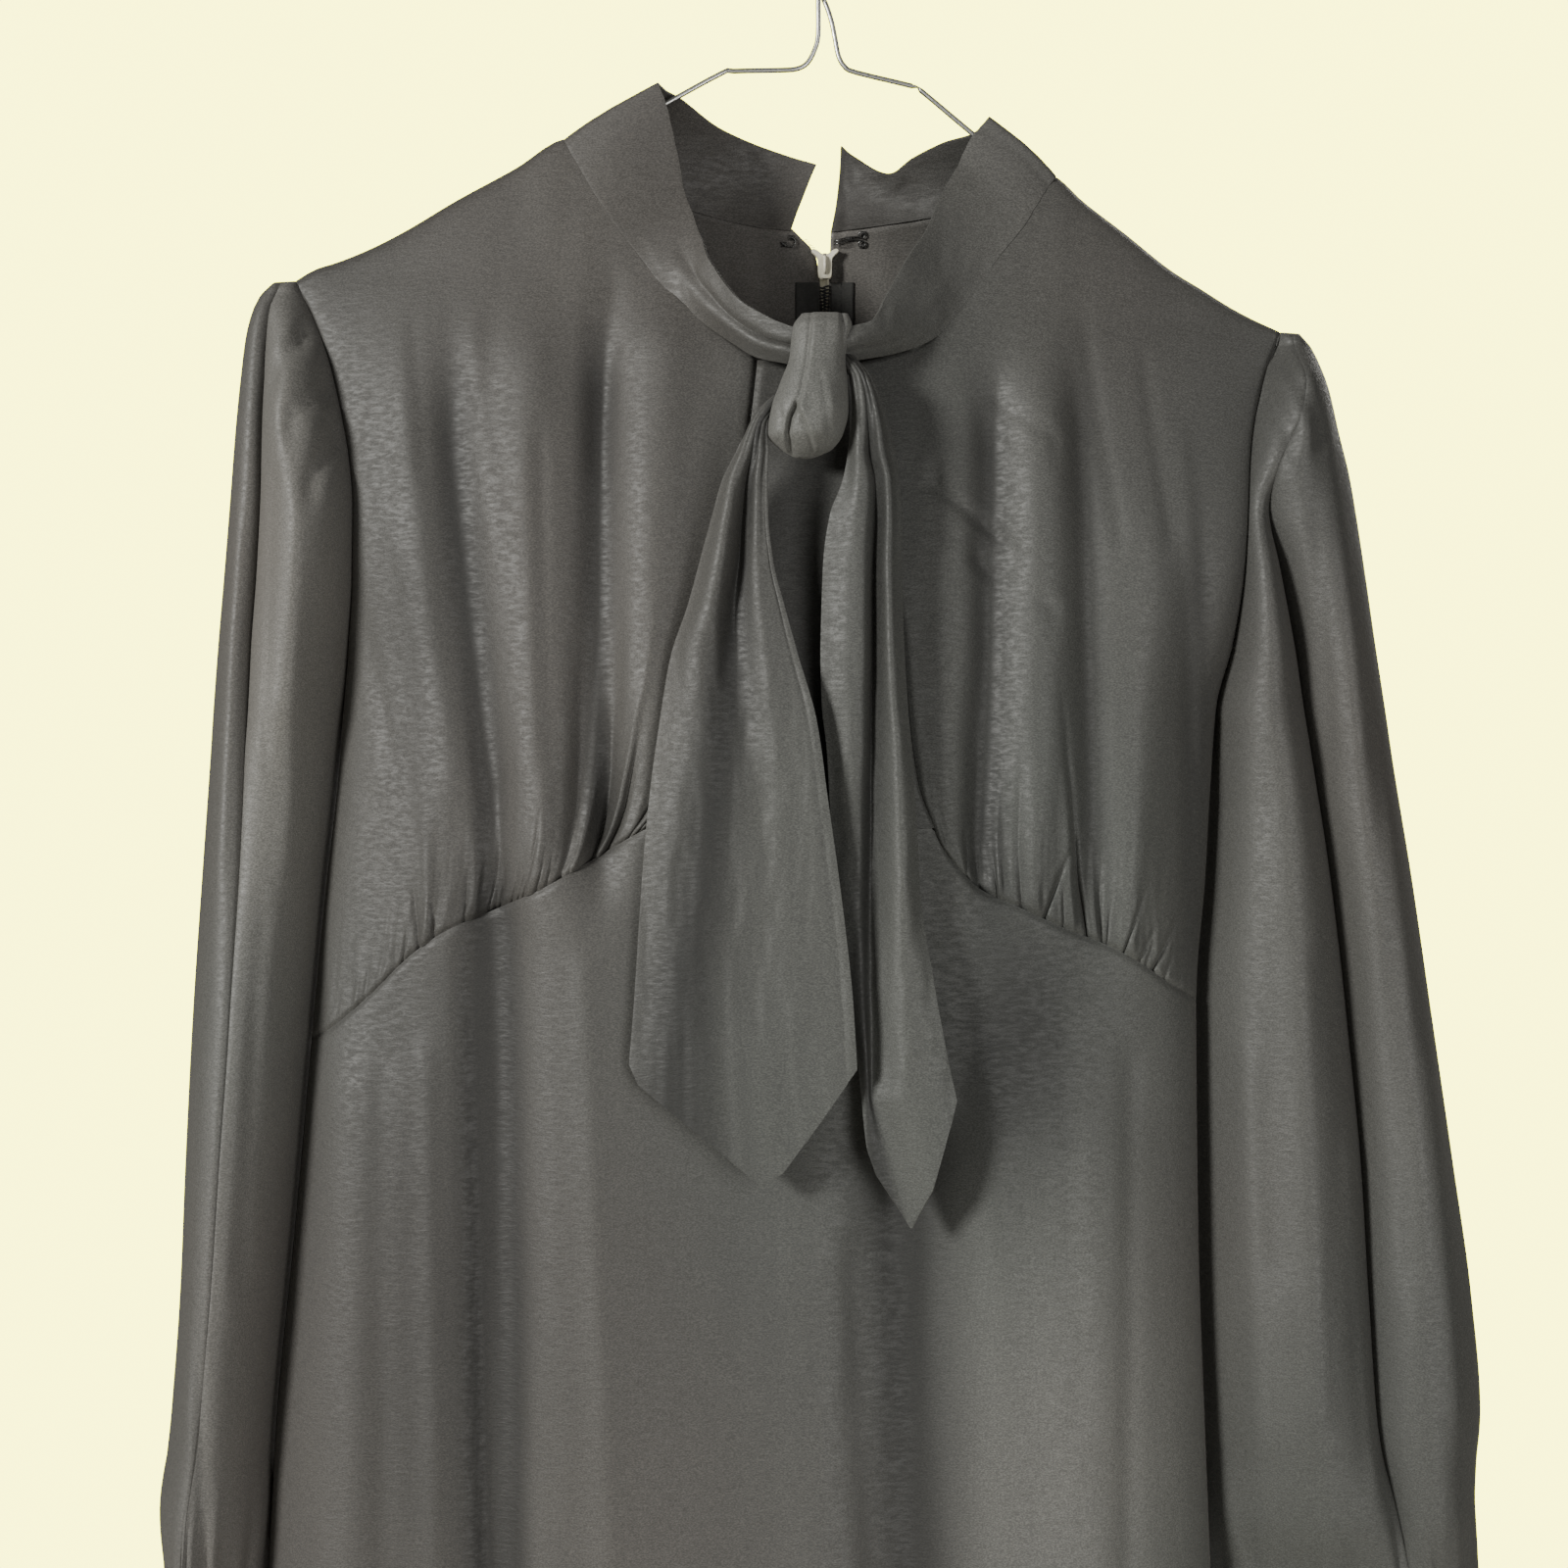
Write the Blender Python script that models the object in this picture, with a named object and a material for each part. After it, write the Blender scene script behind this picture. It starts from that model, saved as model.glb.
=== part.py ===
"""Tie neck dress hanging on a wire hanger.

Sizes are in millimetres and are turned into metres where a mesh is made. +Z is up and the
front of the dress faces -Y. "left" and "right" are the viewer's. The origin is the inner top
of the hanger's hook, and the hanger lies in the plane y = 0, inside the shoulder seams.
The dress hangs a little askew: its right shoulder is lower, and its middle lies to the left.
"""

import math

import bmesh
import bpy
import numpy as np
from mathutils import Matrix, Vector

MM = 0.001
CLOTH_WALL = 1.2
BAND_WALL = 1.6
CUFF_WALL = 2.0
SEAM_GAP = 0.5
TONGUE_GAP = 0.8
NECK_GAP = 1.8
SHOULDER_STAND = 0.75
SIDE_STAND = 0.32
HEM_Z = -1230.0
CUFF_TOP_Z = -778.0
CUFF_HEIGHT = 50.0
BACK_SEAM_Z = {"left": -549.0, "right": -532.0}
SIGN = {"left": -1, "right": 1}

for old in list(bpy.data.objects):
    bpy.data.objects.remove(old, do_unlink=True)


class Table:
    """A short table with named columns, read anywhere along its first column on smooth lines."""

    def __init__(self, names, rows):
        self.names = names.split()
        self.rows = sorted(rows)
        self.keys = [row[0] for row in self.rows]

    def slope(self, values, i):
        steps = [(values[k + 1] - values[k]) / (self.keys[k + 1] - self.keys[k])
                 for k in (i - 1, i) if 0 <= k < len(values) - 1]
        if len(steps) == 1:
            return steps[0]
        if steps[0] * steps[1] <= 0:
            return 0.0
        return 2 * steps[0] * steps[1] / (steps[0] + steps[1])

    def __call__(self, name, at):
        values = [row[self.names.index(name)] for row in self.rows]
        at = min(max(at, self.keys[0]), self.keys[-1])
        i = min(int(np.searchsorted(self.keys, at, side="right")) - 1, len(values) - 2)
        width = self.keys[i + 1] - self.keys[i]
        t = (at - self.keys[i]) / width
        return (
            values[i] * (1 + 2 * t) * (1 - t) ** 2
            + values[i + 1] * t * t * (3 - 2 * t)
            + self.slope(values, i) * width * t * (1 - t) ** 2
            + self.slope(values, i + 1) * width * t * t * (t - 1)
        )


# The outline of the body seen from the front: the armholes above z = -405, the side seams below.
SIDES = Table("z left right", [
    (-222, -229.0, 196.0), (-235, -222.5, 195.6), (-247, -217.2, 194.0), (-260, -212.6, 189.6),
    (-280, -207.4, 184.0), (-300, -203.4, 180.9), (-320, -201.6, 179.5), (-350, -202.4, 177.9),
    (-380, -205.3, 174.2), (-405, -208.0, 168.4), (-440, -210.7, 165.7), (-480, -215.4, 163.4),
    (-530, -220.3, 159.6), (-560, -223.0, 159.8), (-600, -226.5, 160.2), (-640, -230.2, 160.8),
    (-710, -237.0, 163.2), (-776, -240.8, 165.8), (-900, -247.0, 170.0), (-1230, -262.0, 181.0),
])
# How far the middle of the front and of the back stands out from the plane of the hanger.
DEPTHS = Table("z front back", [
    (-150, 10.0, 39.5), (-190, 18.0, 39.0), (-226, 25.0, 37.2), (-262, 32.0, 36.4),
    (-350, 40.5, 35.5), (-450, 45.0, 34.5), (-545, 43.5, 33.0), (-700, 46.5, 35.0),
    (-900, 52.0, 38.0), (-1230, 58.0, 42.0),
])
# The line of the shoulder seams, carried on level across the neck.
SHOULDER = Table("x z", [
    (-229.0, -221.5), (-220.4, -216.6), (-211.9, -214.0), (-199.2, -209.0), (-184.4, -201.7),
    (-158.6, -186.5), (-134.5, -173.4), (-111.7, -160.2), (-60.0, -158.0), (0.0, -163.0),
    (60.0, -171.0), (96.9, -175.9), (111.7, -188.2), (129.4, -201.7), (148.9, -217.3),
    (162.0, -225.4), (174.7, -233.4), (184.4, -238.5), (195.8, -243.6),
])
SHOULDER_TIP = {"left": (-229.0, -221.5), "right": (195.8, -243.6)}
SHOULDER_NECK = {"left": (-111.7, -160.2), "right": (96.9, -175.9)}
UNDERARM_Z = {"left": -405.0, "right": -408.0}
ARMHOLE_HALF_DEPTH = 17.0
SHOULDER_ROLL = {"front": 160.0, "back": 60.0}

# The largest folds of the front: ridges stand out (+), valleys sink in (-).
FRONT_FOLDS = ("top_x top_z bottom_x bottom_z half_width height", [
    (-186.7, -277, -166.0, -431, 12, 4.0), (-164.0, -293, -146.2, -435, 11, -4.0),
    (-133.6, -269, -129.6, -459, 17, 5.0), (-101.2, -277, -99.2, -459, 11, -6.0),
    (-77.0, -269, -83.0, -399, 16, 5.0), (66.9, -326, 64.0, -459, 11, -5.0),
    (81.8, -285, 99.2, -459, 14, 5.0), (101.3, -293, 108.2, -467, 9, -3.5),
    (127.6, -342, 125.6, -480, 14, 4.0), (150.0, -366, 149.0, -500, 10, -4.0),
    (-144.6, -500, -130.0, -1300, 14, -8.0), (-212.6, -580, -214.6, -1300, 18, 4.0),
    (-112.0, -500, -60.0, -1300, 30, 5.0), (12.0, -600, 48.0, -1300, 26, -8.0),
    (87.0, -600, 90.0, -1300, 36, 6.0),
])
BACK_FOLDS = ("top_x top_z bottom_x bottom_z half_width height", [
    (-120.0, -300, -135.0, -520, 18, 4.0), (90.0, -310, 100.0, -520, 18, 4.0),
    (-150.0, -580, -165.0, -1300, 24, -7.0), (-75.0, -600, -85.0, -1300, 30, 6.0),
    (70.0, -600, 80.0, -1300, 28, -7.0), (125.0, -620, 135.0, -1300, 26, 5.0),
])
FOLD_FADE = 60.0

# Under-bust gathers: where each meets the seam, how far up it runs and how deep it is.
GATHERS = {
    "left": ("x rise depth", [
        (-179.3, 50, 1.6), (-171.6, 45, 2.0), (-165.1, 22, 1.2), (-158.2, 30, 1.2),
        (-152.5, 20, 1.2), (-147.2, 28, 1.4), (-142.3, 40, 1.8), (-137.1, 30, 1.6),
        (-131.8, 18, 1.2), (-126.5, 22, 1.2), (-121.6, 22, 1.4), (-117.2, 18, 1.2),
        (-112.3, 36, 1.8), (-107.4, 20, 1.4), (-102.1, 60, 2.6), (-94.8, 70, 2.6),
        (-83.0, 30, 1.6),
    ]),
    "right": ("x rise depth", [
        (139.4, 28, 1.4), (135.0, 25, 1.4), (130.1, 22, 1.2), (125.2, 35, 1.6),
        (118.3, 30, 1.6), (113.4, 20, 1.2), (108.6, 60, 2.2), (103.7, 22, 1.2),
        (98.8, 30, 1.4), (90.7, 28, 1.4), (86.2, 20, 1.2), (81.4, 30, 1.6),
        (74.1, 25, 1.4), (66.8, 70, 2.6), (57.0, 20, 1.2),
    ]),
}
# How the gathered threads of each bust panel fan out from the seam to the shoulder and neck.
FAN = {
    "left": Table("x top", [
        (-222.8, 0.0), (-179.3, 0.13), (-165.1, 0.20), (-142.3, 0.30), (-121.6, 0.38),
        (-112.3, 0.43), (-102.1, 0.50), (-94.8, 0.62), (-83.0, 0.80), (-75.0, 1.0),
    ]),
    "right": Table("x top", [
        (44.2, 1.0), (57.0, 0.80), (66.8, 0.64), (81.4, 0.50), (90.7, 0.44),
        (108.6, 0.33), (125.2, 0.22), (139.4, 0.13), (160.0, 0.0),
    ]),
}
# The seam under the bust, from each side to the foot of the tongue.
UNDERBUST = {
    "left": Table("x z", [
        (-222.8, -549.0), (-212.3, -543.7), (-195.6, -530.4), (-174.5, -510.5),
        (-159.5, -500.3), (-137.2, -490.6), (-118.5, -482.4), (-102.2, -473.1),
        (-83.6, -462.1), (-75.0, -457.3),
    ]),
    "right": Table("x z", [
        (44.2, -457.3), (47.6, -465.0), (55.3, -475.1), (63.4, -482.8), (81.3, -491.0),
        (98.7, -499.1), (117.8, -506.8), (132.4, -514.5), (143.8, -522.6), (160.0, -532.0),
    ]),
}
# The tongue of the skirt front, which rises between the bust panels to the neck.
TONGUE = Table("z left right", [
    (-457.3, -75.0, 44.2), (-450.0, -68.0, 41.4), (-439.0, -61.6, 37.8), (-411.0, -52.7, 33.8),
    (-375.0, -44.8, 30.4), (-333.0, -38.5, 20.8), (-288.0, -32.4, 14.3), (-262.0, -29.5, 9.4),
])
TONGUE_FOOT_Z = -457.3
TONGUE_TOP_Z = {"left": -260.8, "right": -262.8}

# The neck seam seen from the front, from each shoulder to the tongue and to the centre back.
FRONT_NECK = {
    "left": [(-111.7, -160.2), (-100.4, -182.0), (-86.0, -204.4), (-70.1, -225.6),
             (-52.5, -242.8), (-38.9, -254.0), (-29.5, -260.8)],
    "right": [(96.9, -175.9), (91.2, -186.5), (82.2, -201.3), (71.2, -215.2), (58.2, -234.5),
              (49.8, -245.4), (39.4, -254.0), (24.9, -259.2), (9.4, -262.8)],
}
BACK_NECK = {
    "left": [(-111.7, -160.2), (-104.0, -164.5), (-90.0, -171.0), (-70.0, -179.0),
             (-50.0, -185.0), (-30.0, -189.5), (-14.7, -191.4)],
    "right": [(96.9, -175.9), (80.0, -181.3), (62.0, -184.8), (45.0, -187.0), (30.0, -189.0),
              (12.0, -191.0), (2.8, -192.0)],
}
# The centre back edges: shut from the zip's foot to its slider, open above it.
CENTRE_BACK = {
    "left": Table("z x", [(-800, -0.2), (-240, -0.2), (-219, -1.8), (-203, -4.0), (-191.4, -14.7)]),
    "right": Table("z x", [(-800, 0.2), (-240, 0.2), (-219, 1.9), (-203, 2.4), (-192.0, 2.8)]),
}


def fold_height(folds, x, z, fade_out=FOLD_FADE):
    """How far the folds of a table push the cloth out at a place seen from the front."""
    total = 0.0
    for top_x, top_z, bottom_x, bottom_z, half_width, height in folds[1]:
        share = (top_z - z) / (top_z - bottom_z)
        middle = top_x + (bottom_x - top_x) * min(max(share, 0), 1)
        past_end = max(z - top_z, bottom_z - z, 0)
        fade = math.exp(-((past_end / fade_out) ** 2) * 4)
        total += height * fade * math.exp(-(((x - middle) / half_width) ** 2))
    return total


def armhole_half_depth(side, z):
    """Half of the armhole's width from front to back."""
    top, bottom = SHOULDER_TIP[side][1], UNDERARM_Z[side]
    share = min(max((z - bottom) / (top - bottom), 0), 1)
    return ARMHOLE_HALF_DEPTH * math.sin(math.pi * share) ** (1.7 - share)


def body_y(face, x, z):
    """The place in depth of the front or back cloth, in the middle of its wall."""
    left, right = SIDES("left", z), SIDES("right", z)
    across = min(max((2 * x - left - right) / (right - left), -1), 1)
    edge = armhole_half_depth("left" if across < 0 else "right", z)
    roundness = math.sqrt(max(0, 1 - abs(across) ** 2.4))
    roll = SHOULDER_ROLL[face]
    drop = min(max(SHOULDER("z", x) - z, 0), roll)
    below_shoulder = math.sqrt(1 - (1 - drop / roll) ** 2)
    folds = FRONT_FOLDS if face == "front" else BACK_FOLDS
    depth = (edge + (DEPTHS(face, z) - edge) * roundness) * below_shoulder
    stand = lerp(SIDE_STAND, SHOULDER_STAND, min(max((z + 470) / 60, 0), 1))
    depth += stand + fold_height(folds, x, z) * roundness * below_shoulder
    return -depth if face == "front" else depth


def on_body(face, x, z):
    return Vector((x, body_y(face, x, z), z))


def lerp(a, b, t):
    return a + (b - a) * t


def along(points, share):
    """The place at a share of the way along a line of points."""
    steps = [math.dist(a, b) for a, b in zip(points, points[1:])]
    left = share * sum(steps)
    for a, b, step in zip(points, points[1:], steps):
        if left <= step:
            return tuple(lerp(p, q, left / step) for p, q in zip(a, b))
        left -= step
    return points[-1]


def material(name, colour, roughness, metallic=0.0):
    made = bpy.data.materials.new(name)
    made.use_nodes = True
    shader = made.node_tree.nodes["Principled BSDF"]
    shader.inputs["Base Color"].default_value = (*colour, 1)
    shader.inputs["Roughness"].default_value = roughness
    shader.inputs["Metallic"].default_value = metallic
    return made


CREPE = material("charcoal_crepe", (0.052, 0.050, 0.047), 0.55)
TAPE = material("black_tape", (0.012, 0.012, 0.012), 0.8)
PAINTED = material("cream_painted_metal", (0.72, 0.68, 0.55), 0.4)
DARK_METAL = material("dark_metal", (0.10, 0.10, 0.10), 0.3, 1.0)
WIRE = material("galvanized_wire", (0.60, 0.61, 0.60), 0.35, 1.0)


def put(name, mesh, finish):
    """Places a mesh in the scene as a named piece."""
    piece = bpy.data.objects.new(name, mesh)
    mesh.materials.append(finish)
    bpy.context.scene.collection.objects.link(piece)
    return piece


def cloth(name, grids, wall, finish=CREPE, smooth_angle=50):
    """A wall of cloth around grids of middle points, welded where the grids meet."""
    bm = bmesh.new()
    for points in grids:
        rows, columns = len(points), len(points[0])
        made = bmesh.ops.create_grid(bm, x_segments=columns - 1, y_segments=rows - 1, size=0.5)
        for vert in made["verts"]:
            column = round((vert.co.x + 0.5) * (columns - 1))
            row = round((vert.co.y + 0.5) * (rows - 1))
            vert.co = Vector(points[row][column]) * MM
    bmesh.ops.remove_doubles(bm, verts=bm.verts, dist=2e-6)
    bmesh.ops.recalc_face_normals(bm, faces=bm.faces)
    mesh = bpy.data.meshes.new(name)
    bm.to_mesh(mesh)
    bm.free()
    mesh.shade_smooth()
    mesh.set_sharp_from_angle(angle=math.radians(smooth_angle))
    piece = put(name, mesh, finish)
    solid = piece.modifiers.new("wall", "SOLIDIFY")
    solid.thickness = wall * MM
    solid.offset = 0
    return piece


# Rows of a bust panel, as shares of the way up, close together at the gathers and the shoulder.
PANEL_ROWS = (0, 0.02, 0.05, 0.1, 0.17, 0.27, 0.44, 0.53, 0.68, 0.82, 0.93, 0.985, 1)


def patch(bottom, top, left, right, columns):
    """A grid seen from the front that is spanned between four edges."""
    grid = []
    for row, t in enumerate(PANEL_ROWS):
        line = []
        for column in range(columns):
            s = column / (columns - 1)
            x, z = (
                lerp(bottom[column][k], top[column][k], t) + lerp(left[row][k], right[row][k], s)
                - lerp(lerp(bottom[0][k], bottom[-1][k], s), lerp(top[0][k], top[-1][k], s), t)
                for k in (0, 1)
            )
            line.append((x, z))
        grid.append(line)
    return grid


def gather_columns(side):
    """The columns of a bust panel at its seam: (x, gather's rise, gather's height)."""
    rows = GATHERS[side][1]
    start = SIDES(side, BACK_SEAM_Z[side])
    first, last = rows[0][0], rows[-1][0]
    foot = TONGUE(side, TONGUE_FOOT_Z)
    columns = [(start, 0, 0)]
    for share in (0.03, 0.12, 0.28, 0.5, 0.75):
        columns.append((lerp(start, first, share), 0, 0))
    for here, after in zip(rows, rows[1:] + [(foot, rows[-1][1], rows[-1][2])]):
        columns.append((here[0], here[1], -here[2]))
        between = ((here[0] + after[0]) / 2, (here[1] + after[1]) / 2, (here[2] + after[2]) / 2)
        columns.append(between)
    assert (last - first) * (foot - start) > 0
    columns.append((foot, 0, 0))
    return columns


def gather_shape(height, rise, up):
    """A gather starts at half its height at the seam, swells and fades out up the panel."""
    if rise == 0 or up >= 2 * rise:
        return 0.0
    swell = 0.5 + 0.5 * min(up / 10, 1)
    return 0.5 * height * swell * math.cos(math.pi / 2 * up / (2 * rise)) ** 2


def bodice_front(side):
    """A bust panel: side seam and armhole, shoulder and neck, edge of the tongue, gathered seam."""
    sign = SIGN[side]
    columns = gather_columns(side)
    bottom = [(x, UNDERBUST[side]("z", x) + SEAM_GAP) for x, rise, height in columns]
    shoulder = [(x, SHOULDER("z", x)) for x in np.linspace(SHOULDER_TIP[side][0],
                                                           SHOULDER_NECK[side][0], 9)]
    top_line = shoulder + FRONT_NECK[side][1:]
    top = [along(top_line, min(max(FAN[side]("top", x), 0), 1)) for x, rise, height in columns]
    top[0], top[-1] = shoulder[0], FRONT_NECK[side][-1]
    outer = [lerp(bottom[0][1], top[0][1], t) for t in PANEL_ROWS]
    inner = [lerp(bottom[-1][1], top[-1][1], t) for t in PANEL_ROWS]
    grid = patch(
        bottom, top,
        [(SIDES(side, z) if 0 < i < len(outer) - 1 else (bottom, top)[i > 0][0][0], z)
         for i, z in enumerate(outer)],
        [(TONGUE(side, z) + sign * TONGUE_GAP * (i > 0), z) for i, z in enumerate(inner)],
        len(columns),
    )
    points = []
    for line in grid:
        row = []
        for (x, z), (seam_x, rise, height), low in zip(line, columns, bottom):
            place = on_body("front", x, z)
            place.y -= gather_shape(height, rise, z - low[1])
            row.append(place)
        points.append(row)
    return cloth(f"bodice_front_{side}", [points], CLOTH_WALL, smooth_angle=80)


SKIRT_ROWS = (0, 0.015, 0.06, 0.14, 0.26, 0.42, 0.6, 0.8, 1)
TONGUE_ROWS = (0, 0.06, 0.15, 0.28, 0.42, 0.58, 0.75, 0.9, 1)
TONGUE_COLUMNS = 8
SIDE_SHARES = (0, 0.012, 0.045, 0.1, 0.18, 0.28, 0.4, 0.55, 0.7, 0.83, 0.92, 0.97)


def across_body(x, z):
    left, right = SIDES("left", z), SIDES("right", z)
    return (2 * x - left - right) / (right - left)


def body_x(across, z):
    return lerp(SIDES("left", z), SIDES("right", z), (across + 1) / 2)


def skirt_front():
    """The skirt's front, from the seam under the bust down to the hem, and its tongue."""
    foot = {side: TONGUE(side, TONGUE_FOOT_Z) for side in SIGN}
    seam = []
    for side in ("left", "right"):
        edge = SIDES(side, BACK_SEAM_Z[side])
        xs = [lerp(edge, foot[side], share) for share in SIDE_SHARES]
        line = [(x, UNDERBUST[side]("z", x) - SEAM_GAP) for x in xs]
        seam.append(line)
    middle = [(lerp(foot["left"], foot["right"], k / TONGUE_COLUMNS), TONGUE_FOOT_Z - SEAM_GAP)
              for k in range(TONGUE_COLUMNS + 1)]
    top = seam[0] + middle + seam[1][::-1]
    lower = []
    for t in SKIRT_ROWS:
        row = []
        for x, z_top in top:
            z = lerp(z_top, HEM_Z, t)
            row.append(on_body("front", body_x(across_body(x, z_top), z), z))
        lower.append(row)
    upper = []
    for t in TONGUE_ROWS:
        row = []
        for k in range(TONGUE_COLUMNS + 1):
            s = k / TONGUE_COLUMNS
            z = lerp(TONGUE_FOOT_Z - SEAM_GAP, lerp(*TONGUE_TOP_Z.values(), s), t)
            inset = TONGUE_GAP * (t > 0)
            x = lerp(TONGUE("left", z) + inset, TONGUE("right", z) - inset, s)
            row.append(on_body("front", x, z))
        upper.append(row)
    return cloth("skirt_front", [lower, upper], CLOTH_WALL)


BACK_SHARES = (0, 0.012, 0.045, 0.1, 0.2, 0.32, 0.45, 0.58, 0.7, 0.82, 0.92, 1)


def bodice_back(side):
    """Half of the bodice back, from the side seam to the zip."""
    low_z = BACK_SEAM_Z[side]
    edge, middle = SIDES(side, low_z), CENTRE_BACK[side]("x", low_z)
    bottom = [(lerp(edge, middle, s), low_z + SEAM_GAP) for s in BACK_SHARES]
    shoulder = [(x, SHOULDER("z", x)) for x in np.linspace(SHOULDER_TIP[side][0],
                                                           SHOULDER_NECK[side][0], 9)]
    top_line = shoulder + BACK_NECK[side][1:]
    top = [along(top_line, s) for s in BACK_SHARES]
    outer = [lerp(bottom[0][1], top[0][1], t) for t in PANEL_ROWS]
    inner = [lerp(bottom[-1][1], top[-1][1], t) for t in PANEL_ROWS]
    grid = patch(
        bottom, top,
        [(SIDES(side, z) if 0 < i < len(outer) - 1 else (bottom, top)[i > 0][0][0], z)
         for i, z in enumerate(outer)],
        [(CENTRE_BACK[side]("x", z), z) for z in inner],
        len(BACK_SHARES),
    )
    points = [[on_body("back", x, z) for x, z in line] for line in grid]
    return cloth(f"bodice_back_{side}", [points], CLOTH_WALL)


def skirt_back(side):
    """Half of the skirt back, from the side seam to the centre back seam."""
    low_z = BACK_SEAM_Z[side]
    points = []
    for t in SKIRT_ROWS:
        z = lerp(low_z - SEAM_GAP, HEM_Z, t)
        edge, middle = SIDES(side, z), CENTRE_BACK[side]("x", -800)
        row = [on_body("back", lerp(edge, middle, s), z) for s in BACK_SHARES]
        points.append(row)
    return cloth(f"skirt_back_{side}", [points], CLOTH_WALL)


# The sleeves, level by level: the outer edge, the deep fold down the front and how far in it
# sinks, the inner edge below the armhole, how far the cloth swells on each side of the fold,
# and the depth of the back.
SLEEVES = {
    "left": Table("z outer fold fold_y inner swell_in swell_out back", [
        (-228, -244.5, -237, -5, 0, 2, 3, 6), (-235, -247.8, -239, -8, 0, 5, 5, 10),
        (-246, -250.6, -240, -9, 0, 10, 7, 15), (-262, -252.6, -240.5, -10, 0, 15, 8, 19),
        (-285, -254.9, -241, -12, 0, 20, 9, 22), (-315, -257.2, -241.5, -13, 0, 23, 10, 25),
        (-350, -260.0, -243, -14, 0, 24, 11, 27), (-380, -262.5, -245, -15, 0, 24, 12, 29),
        (-405, -264.4, -246, -16, -209.4, 24, 12, 30),
        (-430, -266.0, -247, -20, -212.4, 22, 12, 31),
        (-480, -269.5, -248, -27, -217.6, 18, 12, 34),
        (-540, -273.5, -250, -36, -223.4, 14, 12, 38),
        (-600, -276.5, -254, -38, -228.8, 12, 11, 40),
        (-660, -279.0, -258, -38, -234.6, 11, 10, 40),
        (-710, -282.7, -263, -37, -239.6, 10, 9, 40),
        (-750, -286.2, -268, -36, -242.4, 8, 8, 40),
        (-778, -285.0, -270, -36, -245.0, 6, 6, 38),
    ]),
    "right": Table("z outer fold fold_y inner swell_in swell_out back", [
        (-250, 209.3, 201.5, -5, 0, 1, 2, 4), (-257, 212.8, 202, -12, 0, 4, 5, 10),
        (-268, 217.0, 203, -22, 0, 6, 6, 16), (-288, 221.6, 198, -28, 0, 5, 9, 20),
        (-305, 225.8, 191, -24, 0, 4, 14, 22), (-320, 228.4, 188.5, -15, 0, 5, 20, 24),
        (-346, 232.3, 194, -9, 0, 14, 24, 26), (-380, 237.2, 201, -6, 0, 22, 25, 27),
        (-408, 241.5, 205.2, -6, 171.2, 25, 24, 28),
        (-430, 244.7, 208.8, -6, 169.0, 28, 24, 28),
        (-480, 252.8, 216.5, -6, 166.2, 30, 26, 29),
        (-540, 261.5, 223.6, -6, 162.8, 30, 26, 30),
        (-600, 270.2, 229.0, -8, 162.9, 30, 26, 30),
        (-660, 278.6, 232.0, -10, 163.9, 30, 26, 30),
        (-710, 282.5, 235.0, -12, 165.9, 28, 24, 28),
        (-750, 279.0, 242.5, -14, 167.9, 20, 18, 22),
        (-778, 281.0, 249.0, -15, 169.6, 8, 8, 16),
    ]),
}
CAP_FOLDS = {
    "left": ("top_x top_z bottom_x bottom_z half_width height", [
        (-224.0, -250, -234.0, -264, 4, -5.0), (-213.0, -273, -226.0, -285, 4, -4.0),
        (-209.0, -294, -217.0, -312, 4, -4.0), (-231.0, -262, -231.0, -300, 6, 4.0),
    ]),
    "right": ("top_x top_z bottom_x bottom_z half_width height", [
        (195.0, -256, 207.0, -290, 4, -4.0), (189.0, -276, 196.0, -292, 4, -3.5),
        (201.0, -268, 204.0, -290, 5, 3.0),
    ]),
}
# The inner edge of a sleeve lies a little behind the plane of the hanger, beside the body.
INNER_EDGE_Y = 7.0
INNER_EDGE_RUN = 60.0
CAP_FADE = 16.0
CAP_HALF_DEPTH = 3.0
CAP_TOP = {"left": (-238.5, -222.4), "right": (204.5, -244.6)}
ARMHOLE_GAP = 1.7
LOBE_IN = tuple((1 - math.cos(math.pi * k / 7)) / 2 for k in range(8))
LOBE_OUT = tuple((1 - math.cos(math.pi * k / 6)) / 2 for k in range(7))
LOBE_BACK = tuple((1 - math.cos(math.pi * k / 13)) / 2 for k in range(14))
CUFF_GATHER = 1.2
CUFF_GATHER_RISE = 45.0


def armhole_rows(side):
    """The armhole's edge on the bodice, row by row: its place seen from the front."""
    low = BACK_SEAM_Z[side] + SEAM_GAP
    levels = [lerp(low, SHOULDER_TIP[side][1], t) for t in PANEL_ROWS]
    return [(SIDES(side, z), z) for z in levels[:-1]] + [SHOULDER_TIP[side]]


def armhole_point(face, side, z):
    """A place on the straight steps of the armhole's edge."""
    rows = armhole_rows(side)
    for (low_x, low_z), (high_x, high_z) in zip(rows, rows[1:]):
        if z <= high_z:
            break
    t = (z - low_z) / (high_z - low_z)
    return on_body(face, low_x, low_z).lerp(on_body(face, high_x, high_z), t)


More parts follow.
